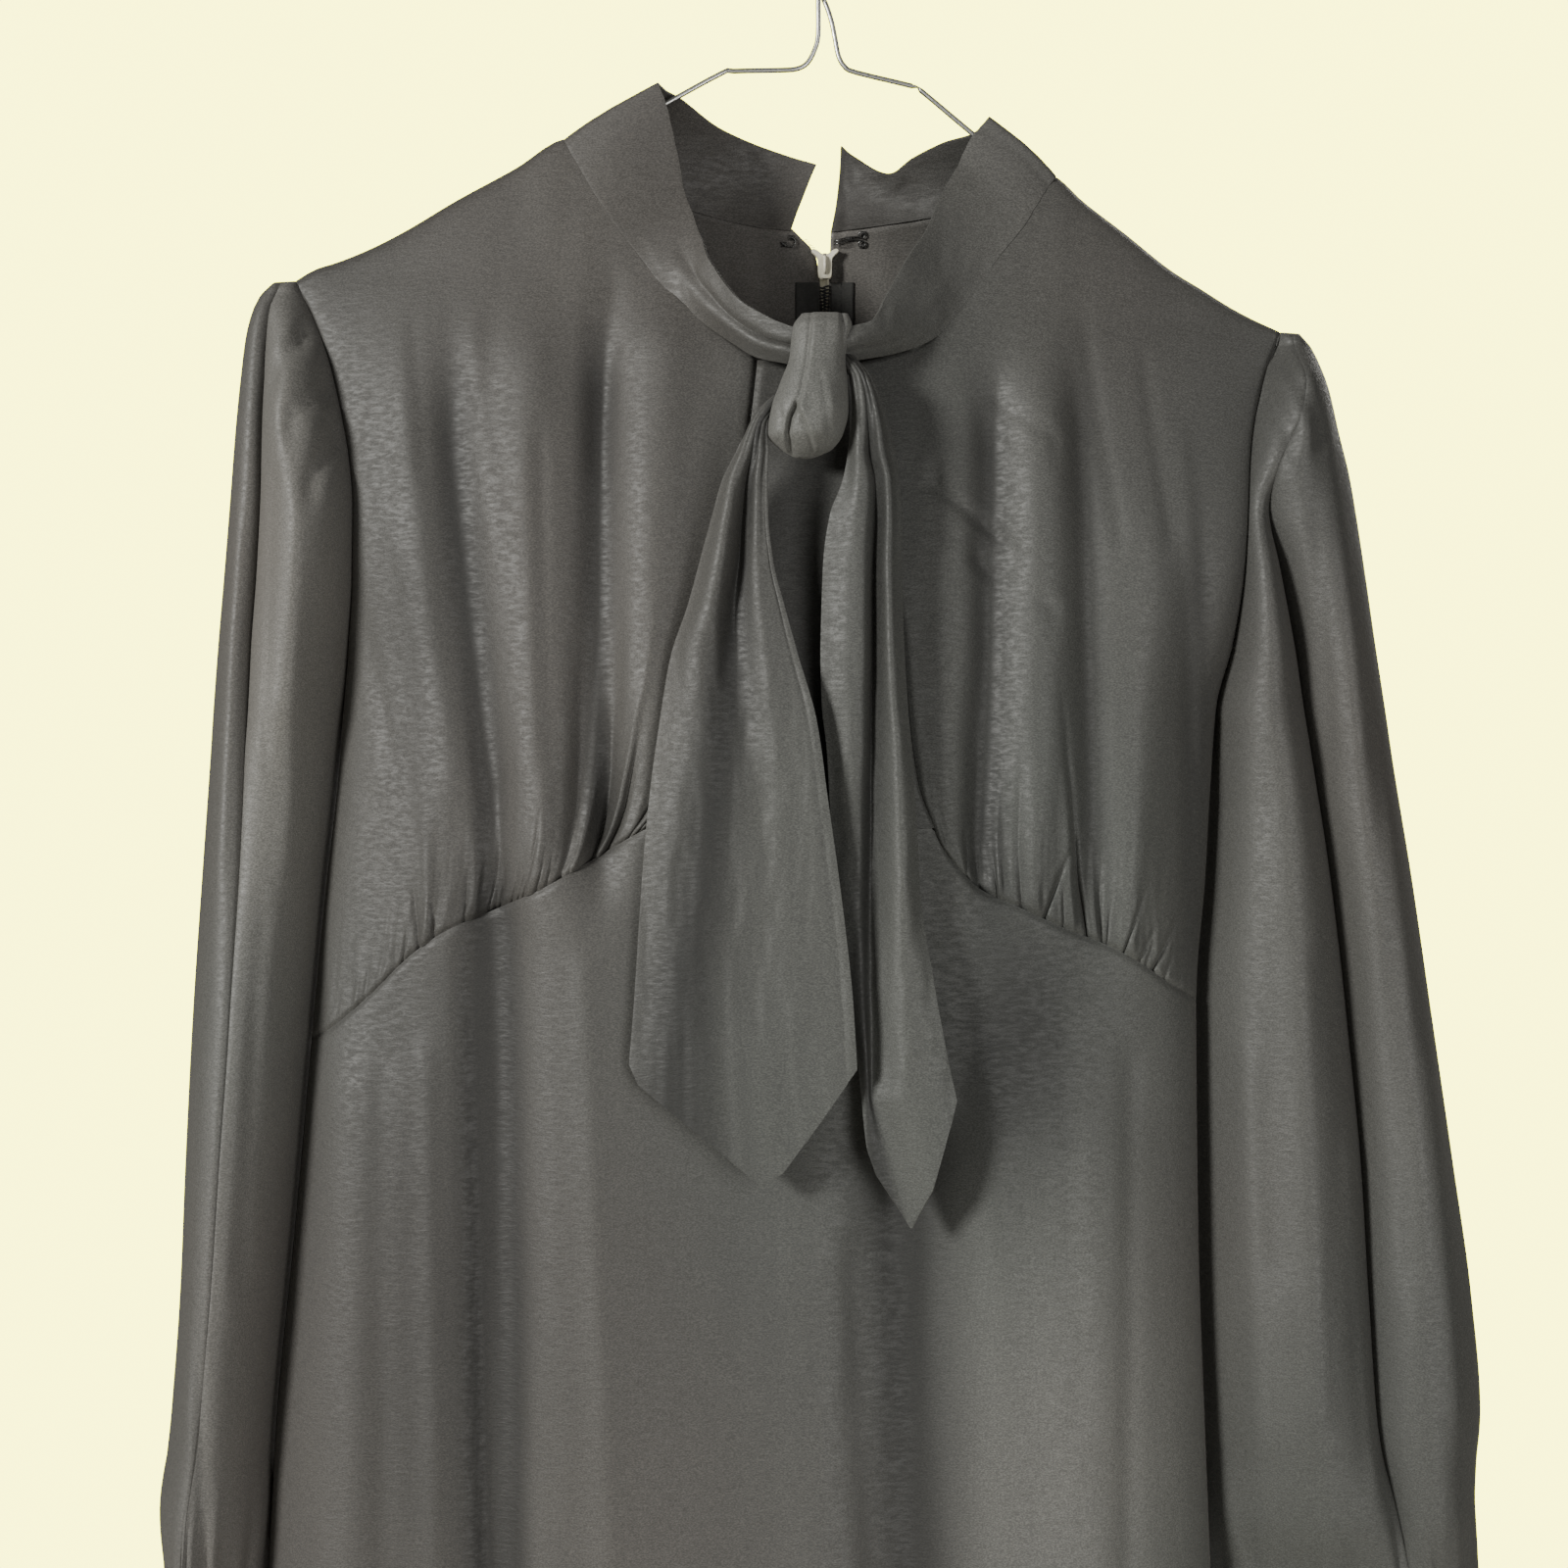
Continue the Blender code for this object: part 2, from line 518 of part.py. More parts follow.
def sleeve_ring(side, z):
    """One level of a sleeve, from the inner edge round the front and the back to it again."""
    table = SLEEVES[side]
    outer, fold, fold_y = table("outer", z), table("fold", z), table("fold_y", z)
    in_armhole = z > UNDERARM_Z[side]
    behind_middle = INNER_EDGE_Y * min(max((UNDERARM_Z[side] - z) / INNER_EDGE_RUN, 0), 1)
    front = back = Vector((table("inner", z), behind_middle, z))
    if in_armhole:
        front, back = (armhole_point(face, side, z) + Vector((SIGN[side] * ARMHOLE_GAP, 0, 0))
                       for face in ("front", "back"))
        front.y, back.y = min(front.y, -CAP_HALF_DEPTH), max(back.y, CAP_HALF_DEPTH)
    ring = []
    for s in LOBE_IN:
        swell = table("swell_in", z) * math.sin(math.pi * s) ** 0.7
        ring.append(Vector((lerp(front.x, fold, s), lerp(front.y, fold_y, s) - swell, z)))
    for s in LOBE_OUT[1:]:
        swell = table("swell_out", z) * math.sin(math.pi * s) ** 0.7
        ring.append(Vector((lerp(fold, outer, s), lerp(fold_y, 0, s) - swell, z)))
    for place in ring[1:-1]:
        place.y -= fold_height(CAP_FOLDS[side], place.x, z, CAP_FADE) * in_armhole
    for s in LOBE_BACK[1:]:
        swell = table("back", z) * math.sin(math.pi * s) ** 0.6
        swell *= 1 - 0.3 * math.exp(-(((s - 0.5) / 0.13) ** 2))
        ring.append(Vector((lerp(outer, back.x, s), lerp(0, back.y, s) + swell, z)))
    return ring


def cap_ridge(side):
    """The top of the sleeve, a ridge from the shoulder tip outwards that front and back share."""
    front, back = len(LOBE_IN) + len(LOBE_OUT) - 2, len(LOBE_BACK) - 1
    tip_x, tip_z = SHOULDER_TIP[side]
    start = Vector((tip_x + SIGN[side] * ARMHOLE_GAP, 0, tip_z - 0.6))
    end = Vector((CAP_TOP[side][0], 0, CAP_TOP[side][1]))
    ridge = [start.lerp(end, k / front) for k in range(front + 1)]
    return ridge + [end.lerp(start, k / back) for k in range(1, back + 1)]


def sleeve(side):
    """A long sleeve, gathered into the armhole above and into the cuff below."""
    table = SLEEVES[side]
    shared = [z for x, z in armhole_rows(side) if UNDERARM_Z[side] - 1 < z < table.keys[-1] + 1]
    own = [z for z in table.keys if all(abs(z - other) > 6 for other in shared)]
    levels = sorted(shared + own, reverse=True)
    rings = [cap_ridge(side)] + [sleeve_ring(side, z) for z in levels]
    gathers = CUFF_TOP_Z + CUFF_GATHER_RISE
    middle = Vector(((table("outer", CUFF_TOP_Z) + table("inner", CUFF_TOP_Z)) / 2, 0, 0))
    for ring in rings:
        share = max(0, (gathers - ring[0].z) / CUFF_GATHER_RISE)
        for k, place in enumerate(ring):
            if share and 0 < k < len(ring) - 1:
                outward = (Vector((place.x, place.y, 0)) - middle).normalized()
                place += outward * CUFF_GATHER * share * (-1) ** k
    return cloth(f"sleeve_{side}", [rings], CLOTH_WALL, smooth_angle=70)


def cuff(side):
    """A cuff band round the gathered end of the sleeve."""
    top = sleeve_ring(side, CUFF_TOP_Z)
    rings = []
    for k in range(3):
        z = CUFF_TOP_Z - SEAM_GAP * 2 - CUFF_HEIGHT * k / 2
        rings.append([Vector((place.x, place.y, z)) for place in top])
    return cloth(f"cuff_{side}", [rings], CUFF_WALL)


# The neck band, station by station along the seam: the place on the neck seam, how far the
# band's foot stands forward of it, and the free edge of the band.
BANDS = {
    "left": ("face foot_x foot_z lift top_x top_y top_z", [
        ("back", -14.9, -191.2, 0, -3.7, 38, -161.4), ("back", -30, -189.5, 0, -18.2, 36, -157.5),
        ("back", -50, -185, 0, -33.5, 31, -153.2), ("back", -70, -179, 0, -48.5, 22, -148.2),
        ("back", -90, -171, 0, -61.4, 10, -141.1), ("back", -104, -164.5, 0, -69.1, 0, -139.2),
        ("front", -111.7, -160.2, 0, -72.2, -6, -138.0),
        ("front", -107, -170, 0, -69.5, -6, -144.5),
        ("front", -100.4, -182, 0, -67.5, -5, -152.5),
        ("front", -93.5, -193.5, 0, -64, -5, -168),
        ("front", -86, -204.4, 0, -60.9, -8, -185.1), ("front", -78, -215, 0, -57.7, -13, -194),
        ("front", -70.1, -225.6, 0, -55.4, -18, -202), ("front", -61, -234.5, 0, -52.4, -25, -211),
        ("front", -52.5, -242.8, 1, -49.5, -33, -220), ("front", -38.9, -254, 4, -38.5, -45, -237),
        ("front", -29.5, -260.8, 9, -25.5, -51, -246.3),
        ("front", -17.8, -264.6, 16, -15.5, -54, -250.8),
    ]),
    "right": ("face foot_x foot_z lift top_x top_y top_z", [
        ("back", 3.0, -191.8, 0, 7.3, 38, -154.8), ("back", 12, -191, 0, 13.5, 37, -160.0),
        ("back", 30, -189, 0, 27.7, 32, -168.2), ("back", 45, -187, 0, 38.2, 25, -162.8),
        ("back", 62, -184.8, 0, 50.5, 14, -158.9), ("back", 80, -181.3, 0, 63.9, 4, -156.8),
        ("front", 96.9, -175.9, 0, 69.6, -6, -152.5),
        ("front", 94.5, -181, 0, 66, -6, -156.5), ("front", 91.2, -186.5, 0, 62.5, -6, -160.8),
        ("front", 86.8, -194, 0, 59, -6, -167.5), ("front", 82.2, -201.3, 0, 55.9, -7.5, -174.5),
        ("front", 71.2, -215.2, 0, 49, -14, -187), ("front", 58.2, -234.5, 0, 42, -24, -204.4),
        ("front", 49.8, -245.4, 0, 33.1, -35, -219.4), ("front", 39.4, -254, 2, 24.5, -43, -235.6),
        ("front", 24.9, -259.2, 7, 18.9, -49, -246.7),
        ("front", 10.4, -263.4, 16, 10.9, -53, -250.7),
    ]),
}
BAND_ROWS = 5
BAND_SWELL = 2.5
NECK_MIDDLE = Vector((-8.0, 0.0, 0.0))


def collar(side):
    """Half of the neck band, from the centre back round to the knot."""
    rows = [[] for k in range(BAND_ROWS)]
    for face, foot_x, foot_z, lift, top_x, top_y, top_z in BANDS[side][1]:
        foot = on_body(face, foot_x, foot_z) + Vector((0, -lift, 0))
        top = Vector((top_x, top_y, top_z))
        foot += (top - foot).normalized() * NECK_GAP
        outward = foot - NECK_MIDDLE
        outward.z = 0
        for k, row in enumerate(rows):
            t = k / (BAND_ROWS - 1)
            row.append(foot.lerp(top, t)
                       + outward.normalized() * BAND_SWELL * math.sin(math.pi * t))
    return cloth(f"collar_{side}", [rows], BAND_WALL)


# The knot, level by level: its edges seen from the front, its middle in depth, half its depth,
# and how deep the two creases of the wrapped cloth are.
KNOT = Table("z left right middle_y half_depth crease", [
    (-304.8, -13.4, -6.1, -51.0, 3.0, 0.0), (-301.5, -19.5, 1.5, -52.5, 8.0, 1.0),
    (-295.5, -25.0, 6.0, -54.5, 12.5, 2.0), (-285.4, -23.6, 8.2, -55.5, 13.5, 2.0),
    (-273.8, -19.6, 7.8, -54.5, 12.0, 1.6), (-263.7, -16.0, 7.0, -53.5, 10.0, 1.4),
    (-255.6, -15.2, 8.6, -53.0, 9.0, 1.2), (-250.4, -14.4, 9.8, -52.5, 8.0, 0.8),
    (-245.6, -11.0, 8.2, -52.0, 4.0, 0.0),
])
KNOT_SIDES = 18
KNOT_CREASES = (-1.9, -1.15)


def knot():
    """The knot: a rounded solid wrapped by the tie, with its two front creases."""
    bm = bmesh.new()
    loops = []
    for level in KNOT.rows:
        z, left, right, middle_y, half_depth, crease = level
        loop = []
        for k in range(KNOT_SIDES):
            turn = 2 * math.pi * k / KNOT_SIDES
            dent = sum(math.exp(-(((turn - 2 * math.pi - place) / 0.2) ** 2))
                       for place in KNOT_CREASES)
            x = (left + right) / 2 + (right - left) / 2 * math.cos(turn)
            y = middle_y + (half_depth - crease * dent) * math.sin(turn)
            loop.append(bm.verts.new(Vector((x, y, z)) * MM))
        loops.append(loop)
    for low, high in zip(loops, loops[1:]):
        edges = []
        for loop in (low, high):
            for a, b in zip(loop, loop[1:] + loop[:1]):
                edges.append(bm.edges.get((a, b)) or bm.edges.new((a, b)))
        bmesh.ops.bridge_loops(bm, edges=edges)
    bmesh.ops.contextual_create(bm, geom=loops[0])
    bmesh.ops.contextual_create(bm, geom=loops[-1])
    bmesh.ops.recalc_face_normals(bm, faces=bm.faces)
    mesh = bpy.data.meshes.new("knot")
    bm.to_mesh(mesh)
    bm.free()
    mesh.shade_smooth()
    mesh.set_sharp_from_angle(angle=math.radians(60))
    return put("knot", mesh, CREPE)


# The tie ends, level by level, across from the left edge to the right: x and y of each fold.
TIE_LEFT = Table("z x0 y0 x1 y1 x2 y2 x3 y3 x4 y4", [
    (-291.0, -31.8, -55.5, -30.2, -57, -28.5, -57.4, -26.8, -57, -24.9, -56),
    (-296.0, -34.4, -55, -32.2, -57.5, -29.9, -58, -27.6, -57.5, -25.4, -56),
    (-303.0, -37.6, -54, -34.4, -58.5, -31.2, -57, -27.9, -58.5, -24.8, -57),
    (-315.0, -43.5, -53, -38.6, -59, -33.8, -54, -29.4, -58.5, -25.2, -57),
    (-328.0, -47.1, -52, -41.0, -60, -35.2, -52, -29.8, -58, -25.0, -57),
    (-347.0, -52.3, -52, -44.0, -61, -36.6, -52, -30.0, -58, -23.0, -57),
    (-366.0, -57.5, -52, -48.0, -61, -38.3, -53, -28.5, -59, -18.2, -58),
    (-386.0, -64.3, -52, -51.5, -61, -38.0, -54, -26.0, -60, -12.6, -59),
    (-411.0, -68.7, -52, -53.0, -60, -36.5, -56, -22.0, -61, -5.4, -61),
    (-446.0, -73.5, -52, -55.0, -59, -36.0, -58, -19.0, -61, -0.2, -62),
    (-487.0, -77.1, -52, -56.5, -58, -35.8, -59, -15.5, -61, 5.5, -62),
    (-527.0, -79.6, -52, -57.2, -58, -34.8, -59, -12.5, -61, 9.9, -62),
    (-553.0, -81.6, -53, -58.3, -58, -35.0, -60, -11.8, -61, 11.5, -62),
])
TIE_RIGHT = Table("z x0 y0 x1 y1 x2 y2 x3 y3 x4 y4", [
    (-272.0, 8.9, -55, 11.2, -57, 13.6, -57.5, 15.3, -57, 17.0, -55.5),
    (-284.0, 9.2, -55, 12.8, -58.5, 16.0, -58, 18.9, -59, 22.0, -55),
    (-294.5, 9.2, -53, 13.0, -58.5, 16.6, -56, 20.6, -60, 25.0, -55),
    (-302.3, 8.6, -52, 12.8, -59, 16.8, -54.5, 21.4, -60, 26.7, -55),
    (-315.0, 6.0, -52, 13.8, -58, 19.2, -54, 24.0, -60, 28.7, -55.5),
    (-328.0, 1.0, -52, 13.6, -58, 19.4, -52.5, 24.4, -60, 29.6, -55.5),
    (-347.0, -1.8, -52, 13.2, -57, 18.8, -50.5, 24.0, -59.5, 29.9, -55),
    (-366.0, -2.6, -52, 13.0, -57, 18.6, -49.5, 24.4, -60, 30.0, -55),
    (-386.0, -3.0, -52, 13.0, -57, 18.6, -49.5, 25.0, -60, 30.8, -55),
    (-405.0, -2.6, -52, 12.8, -56, 18.4, -49, 26.0, -60, 32.0, -55),
    (-424.0, -0.6, -52, 12.8, -55, 18.4, -49, 27.5, -60, 33.5, -55),
    (-451.0, 1.0, -51, 12.0, -54, 18.6, -49, 28.5, -60, 35.5, -55),
    (-487.0, 3.5, -51, 12.0, -53, 18.6, -49, 29.5, -60, 37.6, -55),
    (-519.0, 7.5, -51, 13.0, -53, 18.6, -50, 30.5, -60, 42.8, -56),
    (-554.0, 12.6, -52, 15.5, -54, 18.8, -51, 33.0, -60, 49.2, -57),
    (-568.0, 14.0, -53, 16.0, -54, 19.5, -53, 35.0, -60, 52.4, -58),
])
TIE_POINTS = {"left": [(-81.6, -554.5), (-78.0, -562.5), (-26.6, -603.8), (-18.6, -597.8),
                       (-3.4, -577.3), (11.5, -555.5)],
              "right": [(14.0, -569.5), (16.2, -590.0), (19.5, -599.5), (34.3, -622.0),
                        (42.8, -605.0), (52.4, -569.0)]}
TIE_STEPS = 3


def tie(side):
    """A tie end, folded double, hanging from the knot to its point."""
    table = {"left": TIE_LEFT, "right": TIE_RIGHT}[side]
    rows = []
    for level in reversed(table.rows):
        folds = [Vector((level[1 + 2 * k], level[2 + 2 * k], level[0])) for k in range(5)]
        row = []
        for k in range(4 * TIE_STEPS + 1):
            i = min(k // TIE_STEPS, 3)
            t = k / TIE_STEPS - i
            before = folds[i - 1] if i else folds[i] * 2 - folds[i + 1]
            after = folds[i + 2] if i < 3 else folds[i + 1] * 2 - folds[i]
            a, b = folds[i], folds[i + 1]
            row.append(0.5 * (2 * a + (b - before) * t
                              + (2 * before - 5 * a + 4 * b - after) * t * t
                              + (3 * a - before - 3 * b + after) * t ** 3))
        rows.append(row)
    end = [along(TIE_POINTS[side], k / (4 * TIE_STEPS)) for k in range(4 * TIE_STEPS + 1)]
    last = rows[-1]
    for share in (0.33, 0.67, 1.0):
        rows.append([Vector((lerp(a.x, x, share), a.y, lerp(a.z, z, share)))
                     for a, (x, z) in zip(last, end)])
    return cloth(f"tie_{side}", [rows], BAND_WALL)


# The zip lies inside the centre back: two tapes, the shut coil, and the slider at its top.
ZIP_FOOT_Z = -690.0
ZIP_HEAD_Z = -214.5
TAPE_WIDTH = 13.0
TAPE_WALL = 0.8
CHAIN_WIDTH = 4.4
CHAIN_DEPTH = 1.8
PLY_GAP = 0.35
SLIDER_GAP = 1.6


def behind(z, depth):
    """The place in depth of something that lies inside the centre back."""
    return body_y("back", 0.0, z) - CLOTH_WALL / 2 - depth


def zip_tape(side):
    """One tape of the zip, laid inside the edge of the back."""
    sign = SIGN[side]
    points = []
    for z in np.linspace(ZIP_FOOT_Z, ZIP_HEAD_Z, 15):
        row = []
        for across in (CHAIN_WIDTH / 2 + PLY_GAP, 7.0, TAPE_WIDTH):
            y = body_y("back", sign * across, z) - CLOTH_WALL / 2 - PLY_GAP - TAPE_WALL / 2
            row.append((sign * across, y, z))
        points.append(row)
    return cloth(f"zip_tape_{side}", [points], TAPE_WALL, TAPE)


def box(bm, low, high):
    """Adds a plain box between two corners, in millimetres."""
    middle = [(a + b) / 2 * MM for a, b in zip(low, high)]
    size = [(b - a) * MM for a, b in zip(low, high)]
    place = Matrix.Translation(middle) @ Matrix.Diagonal((*size, 1))
    bmesh.ops.create_cube(bm, size=1, matrix=place)


def zip_chain():
    """The shut coil of the zip, as one slim bar that follows the back."""
    bm = bmesh.new()
    loops = []
    for z in np.linspace(ZIP_FOOT_Z, ZIP_HEAD_Z, 15):
        y = behind(z, PLY_GAP + CHAIN_DEPTH / 2)
        half = CHAIN_WIDTH / 2
        flat = CHAIN_DEPTH / 2
        corners = [(-half, -flat * 0.4), (-half * 0.5, -flat), (half * 0.5, -flat),
                   (half, -flat * 0.4), (half, flat), (-half, flat)]
        loops.append([bm.verts.new(Vector((x, y + dy, z)) * MM) for x, dy in corners])
    for low, high in zip(loops, loops[1:]):
        edges = []
        for loop in (low, high):
            for a, b in zip(loop, loop[1:] + loop[:1]):
                edges.append(bm.edges.get((a, b)) or bm.edges.new((a, b)))
        bmesh.ops.bridge_loops(bm, edges=edges)
    bmesh.ops.contextual_create(bm, geom=loops[0])
    bmesh.ops.contextual_create(bm, geom=loops[-1])
    bmesh.ops.recalc_face_normals(bm, faces=bm.faces)
    mesh = bpy.data.meshes.new("zip_chain")
    bm.to_mesh(mesh)
    bm.free()
    return put("zip_chain", mesh, TAPE)


SLIDER_MIDDLE_Z = -207.0
SLIDER_LENGTH = 13.0
SLIDER_WIDTH = 6.4
SLIDER_CROWN_WIDTH = 12.0
SLIDER_DEPTH = 3.4
EYELET_HALF = 2.2
EYELET_HOLE_HALF = 0.85
EYELET_WALL = 2.0
HINGE_Y = 41.0


def cut_or_join(piece, other, operation):
    """Applies a Boolean with another piece and removes that piece."""
    step = piece.modifiers.new("step", "BOOLEAN")
    step.operation = operation
    step.object = other
    graph = bpy.context.evaluated_depsgraph_get()
    shaped = bpy.data.meshes.new_from_object(piece.evaluated_get(graph))
    piece.modifiers.clear()
    piece.data = shaped
    bpy.data.objects.remove(other, do_unlink=True)


def boxes(name, corners, finish=PAINTED):
    """One piece made of boxes that run into each other."""
    piece = None
    for low, high in corners:
        bm = bmesh.new()
        box(bm, low, high)
        mesh = bpy.data.meshes.new(name)
        bm.to_mesh(mesh)
        bm.free()
        made = put(name if piece is None else f"{name}_add", mesh, finish)
        if piece is None:
            piece = made
        else:
            cut_or_join(piece, made, "UNION")
    return piece


def zip_slider():
    """The slider: its body inside the dress, and the eyelet for the pull on the outside."""
    body_back = behind(SLIDER_MIDDLE_Z, SLIDER_GAP)
    body_front = body_back - SLIDER_DEPTH
    low, high = SLIDER_MIDDLE_Z - SLIDER_LENGTH / 2, SLIDER_MIDDLE_Z + SLIDER_LENGTH / 2
    stem = EYELET_WALL / 2
    chain_top = ZIP_HEAD_Z + PLY_GAP
    slider = boxes("zip_slider", [
        ((-SLIDER_WIDTH / 2, body_front, chain_top), (SLIDER_WIDTH / 2, body_back, high - 3)),
        ((-SLIDER_CROWN_WIDTH / 2, body_front + 0.4, high - 3.5),
         (SLIDER_CROWN_WIDTH / 2, body_front + 1.6, high)),
        ((-SLIDER_WIDTH / 2, body_front, low), (SLIDER_WIDTH / 2, body_front + 0.7, chain_top + 1)),
        ((-stem, body_back - 1, SLIDER_MIDDLE_Z - EYELET_HALF),
         (stem, HINGE_Y + EYELET_HALF, SLIDER_MIDDLE_Z + EYELET_HALF)),
    ])
    hole = boxes("eyelet_hole", [
        ((-3, HINGE_Y - EYELET_HOLE_HALF, SLIDER_MIDDLE_Z - EYELET_HOLE_HALF),
         (3, HINGE_Y + EYELET_HOLE_HALF, SLIDER_MIDDLE_Z + EYELET_HOLE_HALF)),
    ])
    cut_or_join(slider, hole, "DIFFERENCE")
    return slider


PULL_LENGTH = 21.0
PULL_WIDTH = 6.0
PULL_WALL = 1.0
PULL_ARM = 1.0
PULL_BAR = 0.4
PULL_EYE_LENGTH = 3.9


def zip_pull():
    """The pull tab, which swings on its crossbar in the slider's eyelet. Its origin is the hinge."""
    arm = EYELET_WALL / 2 + 0.4
    half = PULL_WALL / 2
    pull = boxes("zip_pull", [
        ((-arm - PULL_ARM / 2, -PULL_BAR, -PULL_BAR), (arm + PULL_ARM / 2, PULL_BAR, PULL_BAR)),
        ((-arm - PULL_ARM, -half, -PULL_EYE_LENGTH - 1), (-arm, half, half)),
        ((arm, -half, -PULL_EYE_LENGTH - 1), (arm + PULL_ARM, half, half)),
        ((-PULL_WIDTH / 2, -half, -PULL_LENGTH), (PULL_WIDTH / 2, half, -PULL_EYE_LENGTH)),
    ])
    pull.location = Vector((0, HINGE_Y, SLIDER_MIDDLE_Z)) * MM
    return pull


def wire(name, points, radius, finish, sides=2):
    """A wire of round section along a line of points."""
    curve = bpy.data.curves.new(name, "CURVE")
    curve.dimensions = "3D"
    curve.bevel_depth = radius * MM
    curve.bevel_resolution = sides
    curve.use_fill_caps = True
    line = curve.splines.new("POLY")
    line.points.add(len(points) - 1)
    for point, place in zip(line.points, points):
        point.co = (*(Vector(place) * MM), 1)
    return put(name, curve, finish)


HOOK_RADIUS = 0.35
FASTENER_GAP = 0.7


def hook_and_eye():
    """The hook on the right edge above the zip, and the eye on the left edge."""
    def inside(x, z, out=0.0):
        y = body_y("back", x, z) - CLOTH_WALL / 2 - FASTENER_GAP - HOOK_RADIUS - out
        return (x, y, z)

    hook = [inside(17.5, -196.8), inside(15.6, -195.9), inside(12.0, -195.7), inside(8.5, -196.2),
            inside(5.6, -196.9, 0.1), inside(4.4, -197.6, 0.9), inside(4.4, -197.9, 1.9),
            inside(5.6, -197.6, 2.7), inside(8.0, -197.0, 2.8)]
    eye = [inside(-19.4, -197.2), inside(-17.4, -198.6), inside(-14.8, -199.0),
           inside(-13.2, -197.8), inside(-13.4, -195.9), inside(-15.4, -194.8)]
    wire("hook", hook, HOOK_RADIUS, DARK_METAL, sides=1)
    wire("eye", eye, HOOK_RADIUS, DARK_METAL, sides=1)


# The hanger is one steel wire: the hook, down its stem, round the frame inside the shoulders,
# and up again, where its end is wound round the stem.
WIRE_RADIUS = 1.1
HOOK_TURN = 22.0
UNDER_SEAM = 2.4
END_TURN = 10.0
LEFT_END = (-198.0, -223.0)
RIGHT_END = (178.0, -249.4)
STEM_X = -3.4
WRAP_LOW_Z = -100.0
WRAP_TURNS = 2.5
WRAP_PITCH = 6.0


def arc(centre, radius, start, stop, steps):
    """Points on an arc in the plane of the hanger, by its angles in degrees."""
    turns = [math.radians(lerp(start, stop, k / steps)) for k in range(steps + 1)]
    return [(centre[0] + radius * math.cos(a), 0, centre[1] + radius * math.sin(a)) for a in turns]


def under_shoulder(xs):
    return [(x, 0, SHOULDER("z", x) - UNDER_SEAM) for x in xs]


def hanger():
    """The wire hanger that carries the shoulder seams."""
    top = WIRE_RADIUS - HOOK_TURN
    points = arc((0, top), HOOK_TURN, 200, -50, 14)
    points += [(7.5, 0, -43.5), (2.0, 0, -48.0), (-1.6, 0, -54.0), (STEM_X, 0, -62.0),
               (STEM_X, 0, -84.0), (STEM_X, 0, -100.0), (STEM_X, 0, -115.0)]
    points += [(-5.0, 0, -121.5), (-8.0, 0, -127.0), (-12.5, 0, -129.6), (-20.0, 0, -130.2),
               (-40.0, 0, -130.6), (-45.0, 0, -131.4), (-67.8, 0, -143.8), (-90.0, 0, -156.4),
               (-106.0, 0, -165.0)]
    points += under_shoulder((-124, -140, -160, -184))
    points += arc(LEFT_END, END_TURN, 118, 265, 7)
    points += arc(RIGHT_END, END_TURN, 275, 418, 7)
    points += under_shoulder((160, 148, 130, 111))
    points += [(97.0, 0, -181.5), (80.0, 0, -170.5), (63.6, 0, -157.9), (41.0, 0, -139.0),
               (37.0, 0, -137.0), (13.0, 0, -131.2), (8.0, 0, -128.6), (5.4, 0, -124.0),
               (4.0, 0, -117.0), (2.6, 0, -110.0), (0.8, 0, -104.0)]
    wrap = 2 * WIRE_RADIUS + 0.35
    steps = 9
    for k in range(int(WRAP_TURNS * steps) + 1):
        turn = 2 * math.pi * k / steps
        points.append((STEM_X + wrap * math.cos(turn), -wrap * math.sin(turn),
                       WRAP_LOW_Z + WRAP_PITCH * k / steps))
    return wire("hanger", points, WIRE_RADIUS, WIRE, sides=1)


for name in SIGN:
    bodice_front(name)
    bodice_back(name)
    skirt_back(name)
    sleeve(name)
    cuff(name)
    collar(name)
    tie(name)
    zip_tape(name)
skirt_front()
knot()
zip_chain()
zip_slider()
zip_pull()
hook_and_eye()
hanger()
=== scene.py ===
import math

import bmesh
import bpy
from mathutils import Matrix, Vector, noise


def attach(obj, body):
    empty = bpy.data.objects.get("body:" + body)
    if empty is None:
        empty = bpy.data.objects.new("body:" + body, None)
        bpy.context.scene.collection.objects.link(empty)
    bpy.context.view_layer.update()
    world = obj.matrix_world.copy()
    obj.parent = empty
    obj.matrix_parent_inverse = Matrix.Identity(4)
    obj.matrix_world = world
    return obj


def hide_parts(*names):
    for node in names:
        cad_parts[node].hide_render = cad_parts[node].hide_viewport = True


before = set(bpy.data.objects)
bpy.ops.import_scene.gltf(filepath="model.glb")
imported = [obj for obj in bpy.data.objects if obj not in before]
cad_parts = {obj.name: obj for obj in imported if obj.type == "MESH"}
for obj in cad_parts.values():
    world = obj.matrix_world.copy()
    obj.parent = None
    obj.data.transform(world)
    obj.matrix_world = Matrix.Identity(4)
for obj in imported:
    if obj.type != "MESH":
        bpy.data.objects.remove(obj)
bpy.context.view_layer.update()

# The room: a pale cream room without a near wall, a pale floor below, and a level camera. The
# camera sees a brighter backdrop than the one that lights the cloth. Soft daylight comes from
# the upper left in front, so folds shade to the right and down, and three weak lamps fill in.
room = bpy.data.worlds.new("cream_room")
bpy.context.scene.world = room
room.use_nodes = True
room_nodes = room.node_tree.nodes
seen = room_nodes["Background"]
seen.inputs["Color"].default_value = (1.0, 0.98, 0.15, 1)
seen.inputs["Strength"].default_value = 8.0
ambient = room_nodes.new("ShaderNodeBackground")
ambient.inputs["Color"].default_value = (0.95, 0.93, 0.86, 1)
ambient.inputs["Strength"].default_value = 0.13
path = room_nodes.new("ShaderNodeLightPath")
choose = room_nodes.new("ShaderNodeMixShader")
room.node_tree.links.new(path.outputs["Is Camera Ray"], choose.inputs["Fac"])
room.node_tree.links.new(ambient.outputs[0], choose.inputs[1])
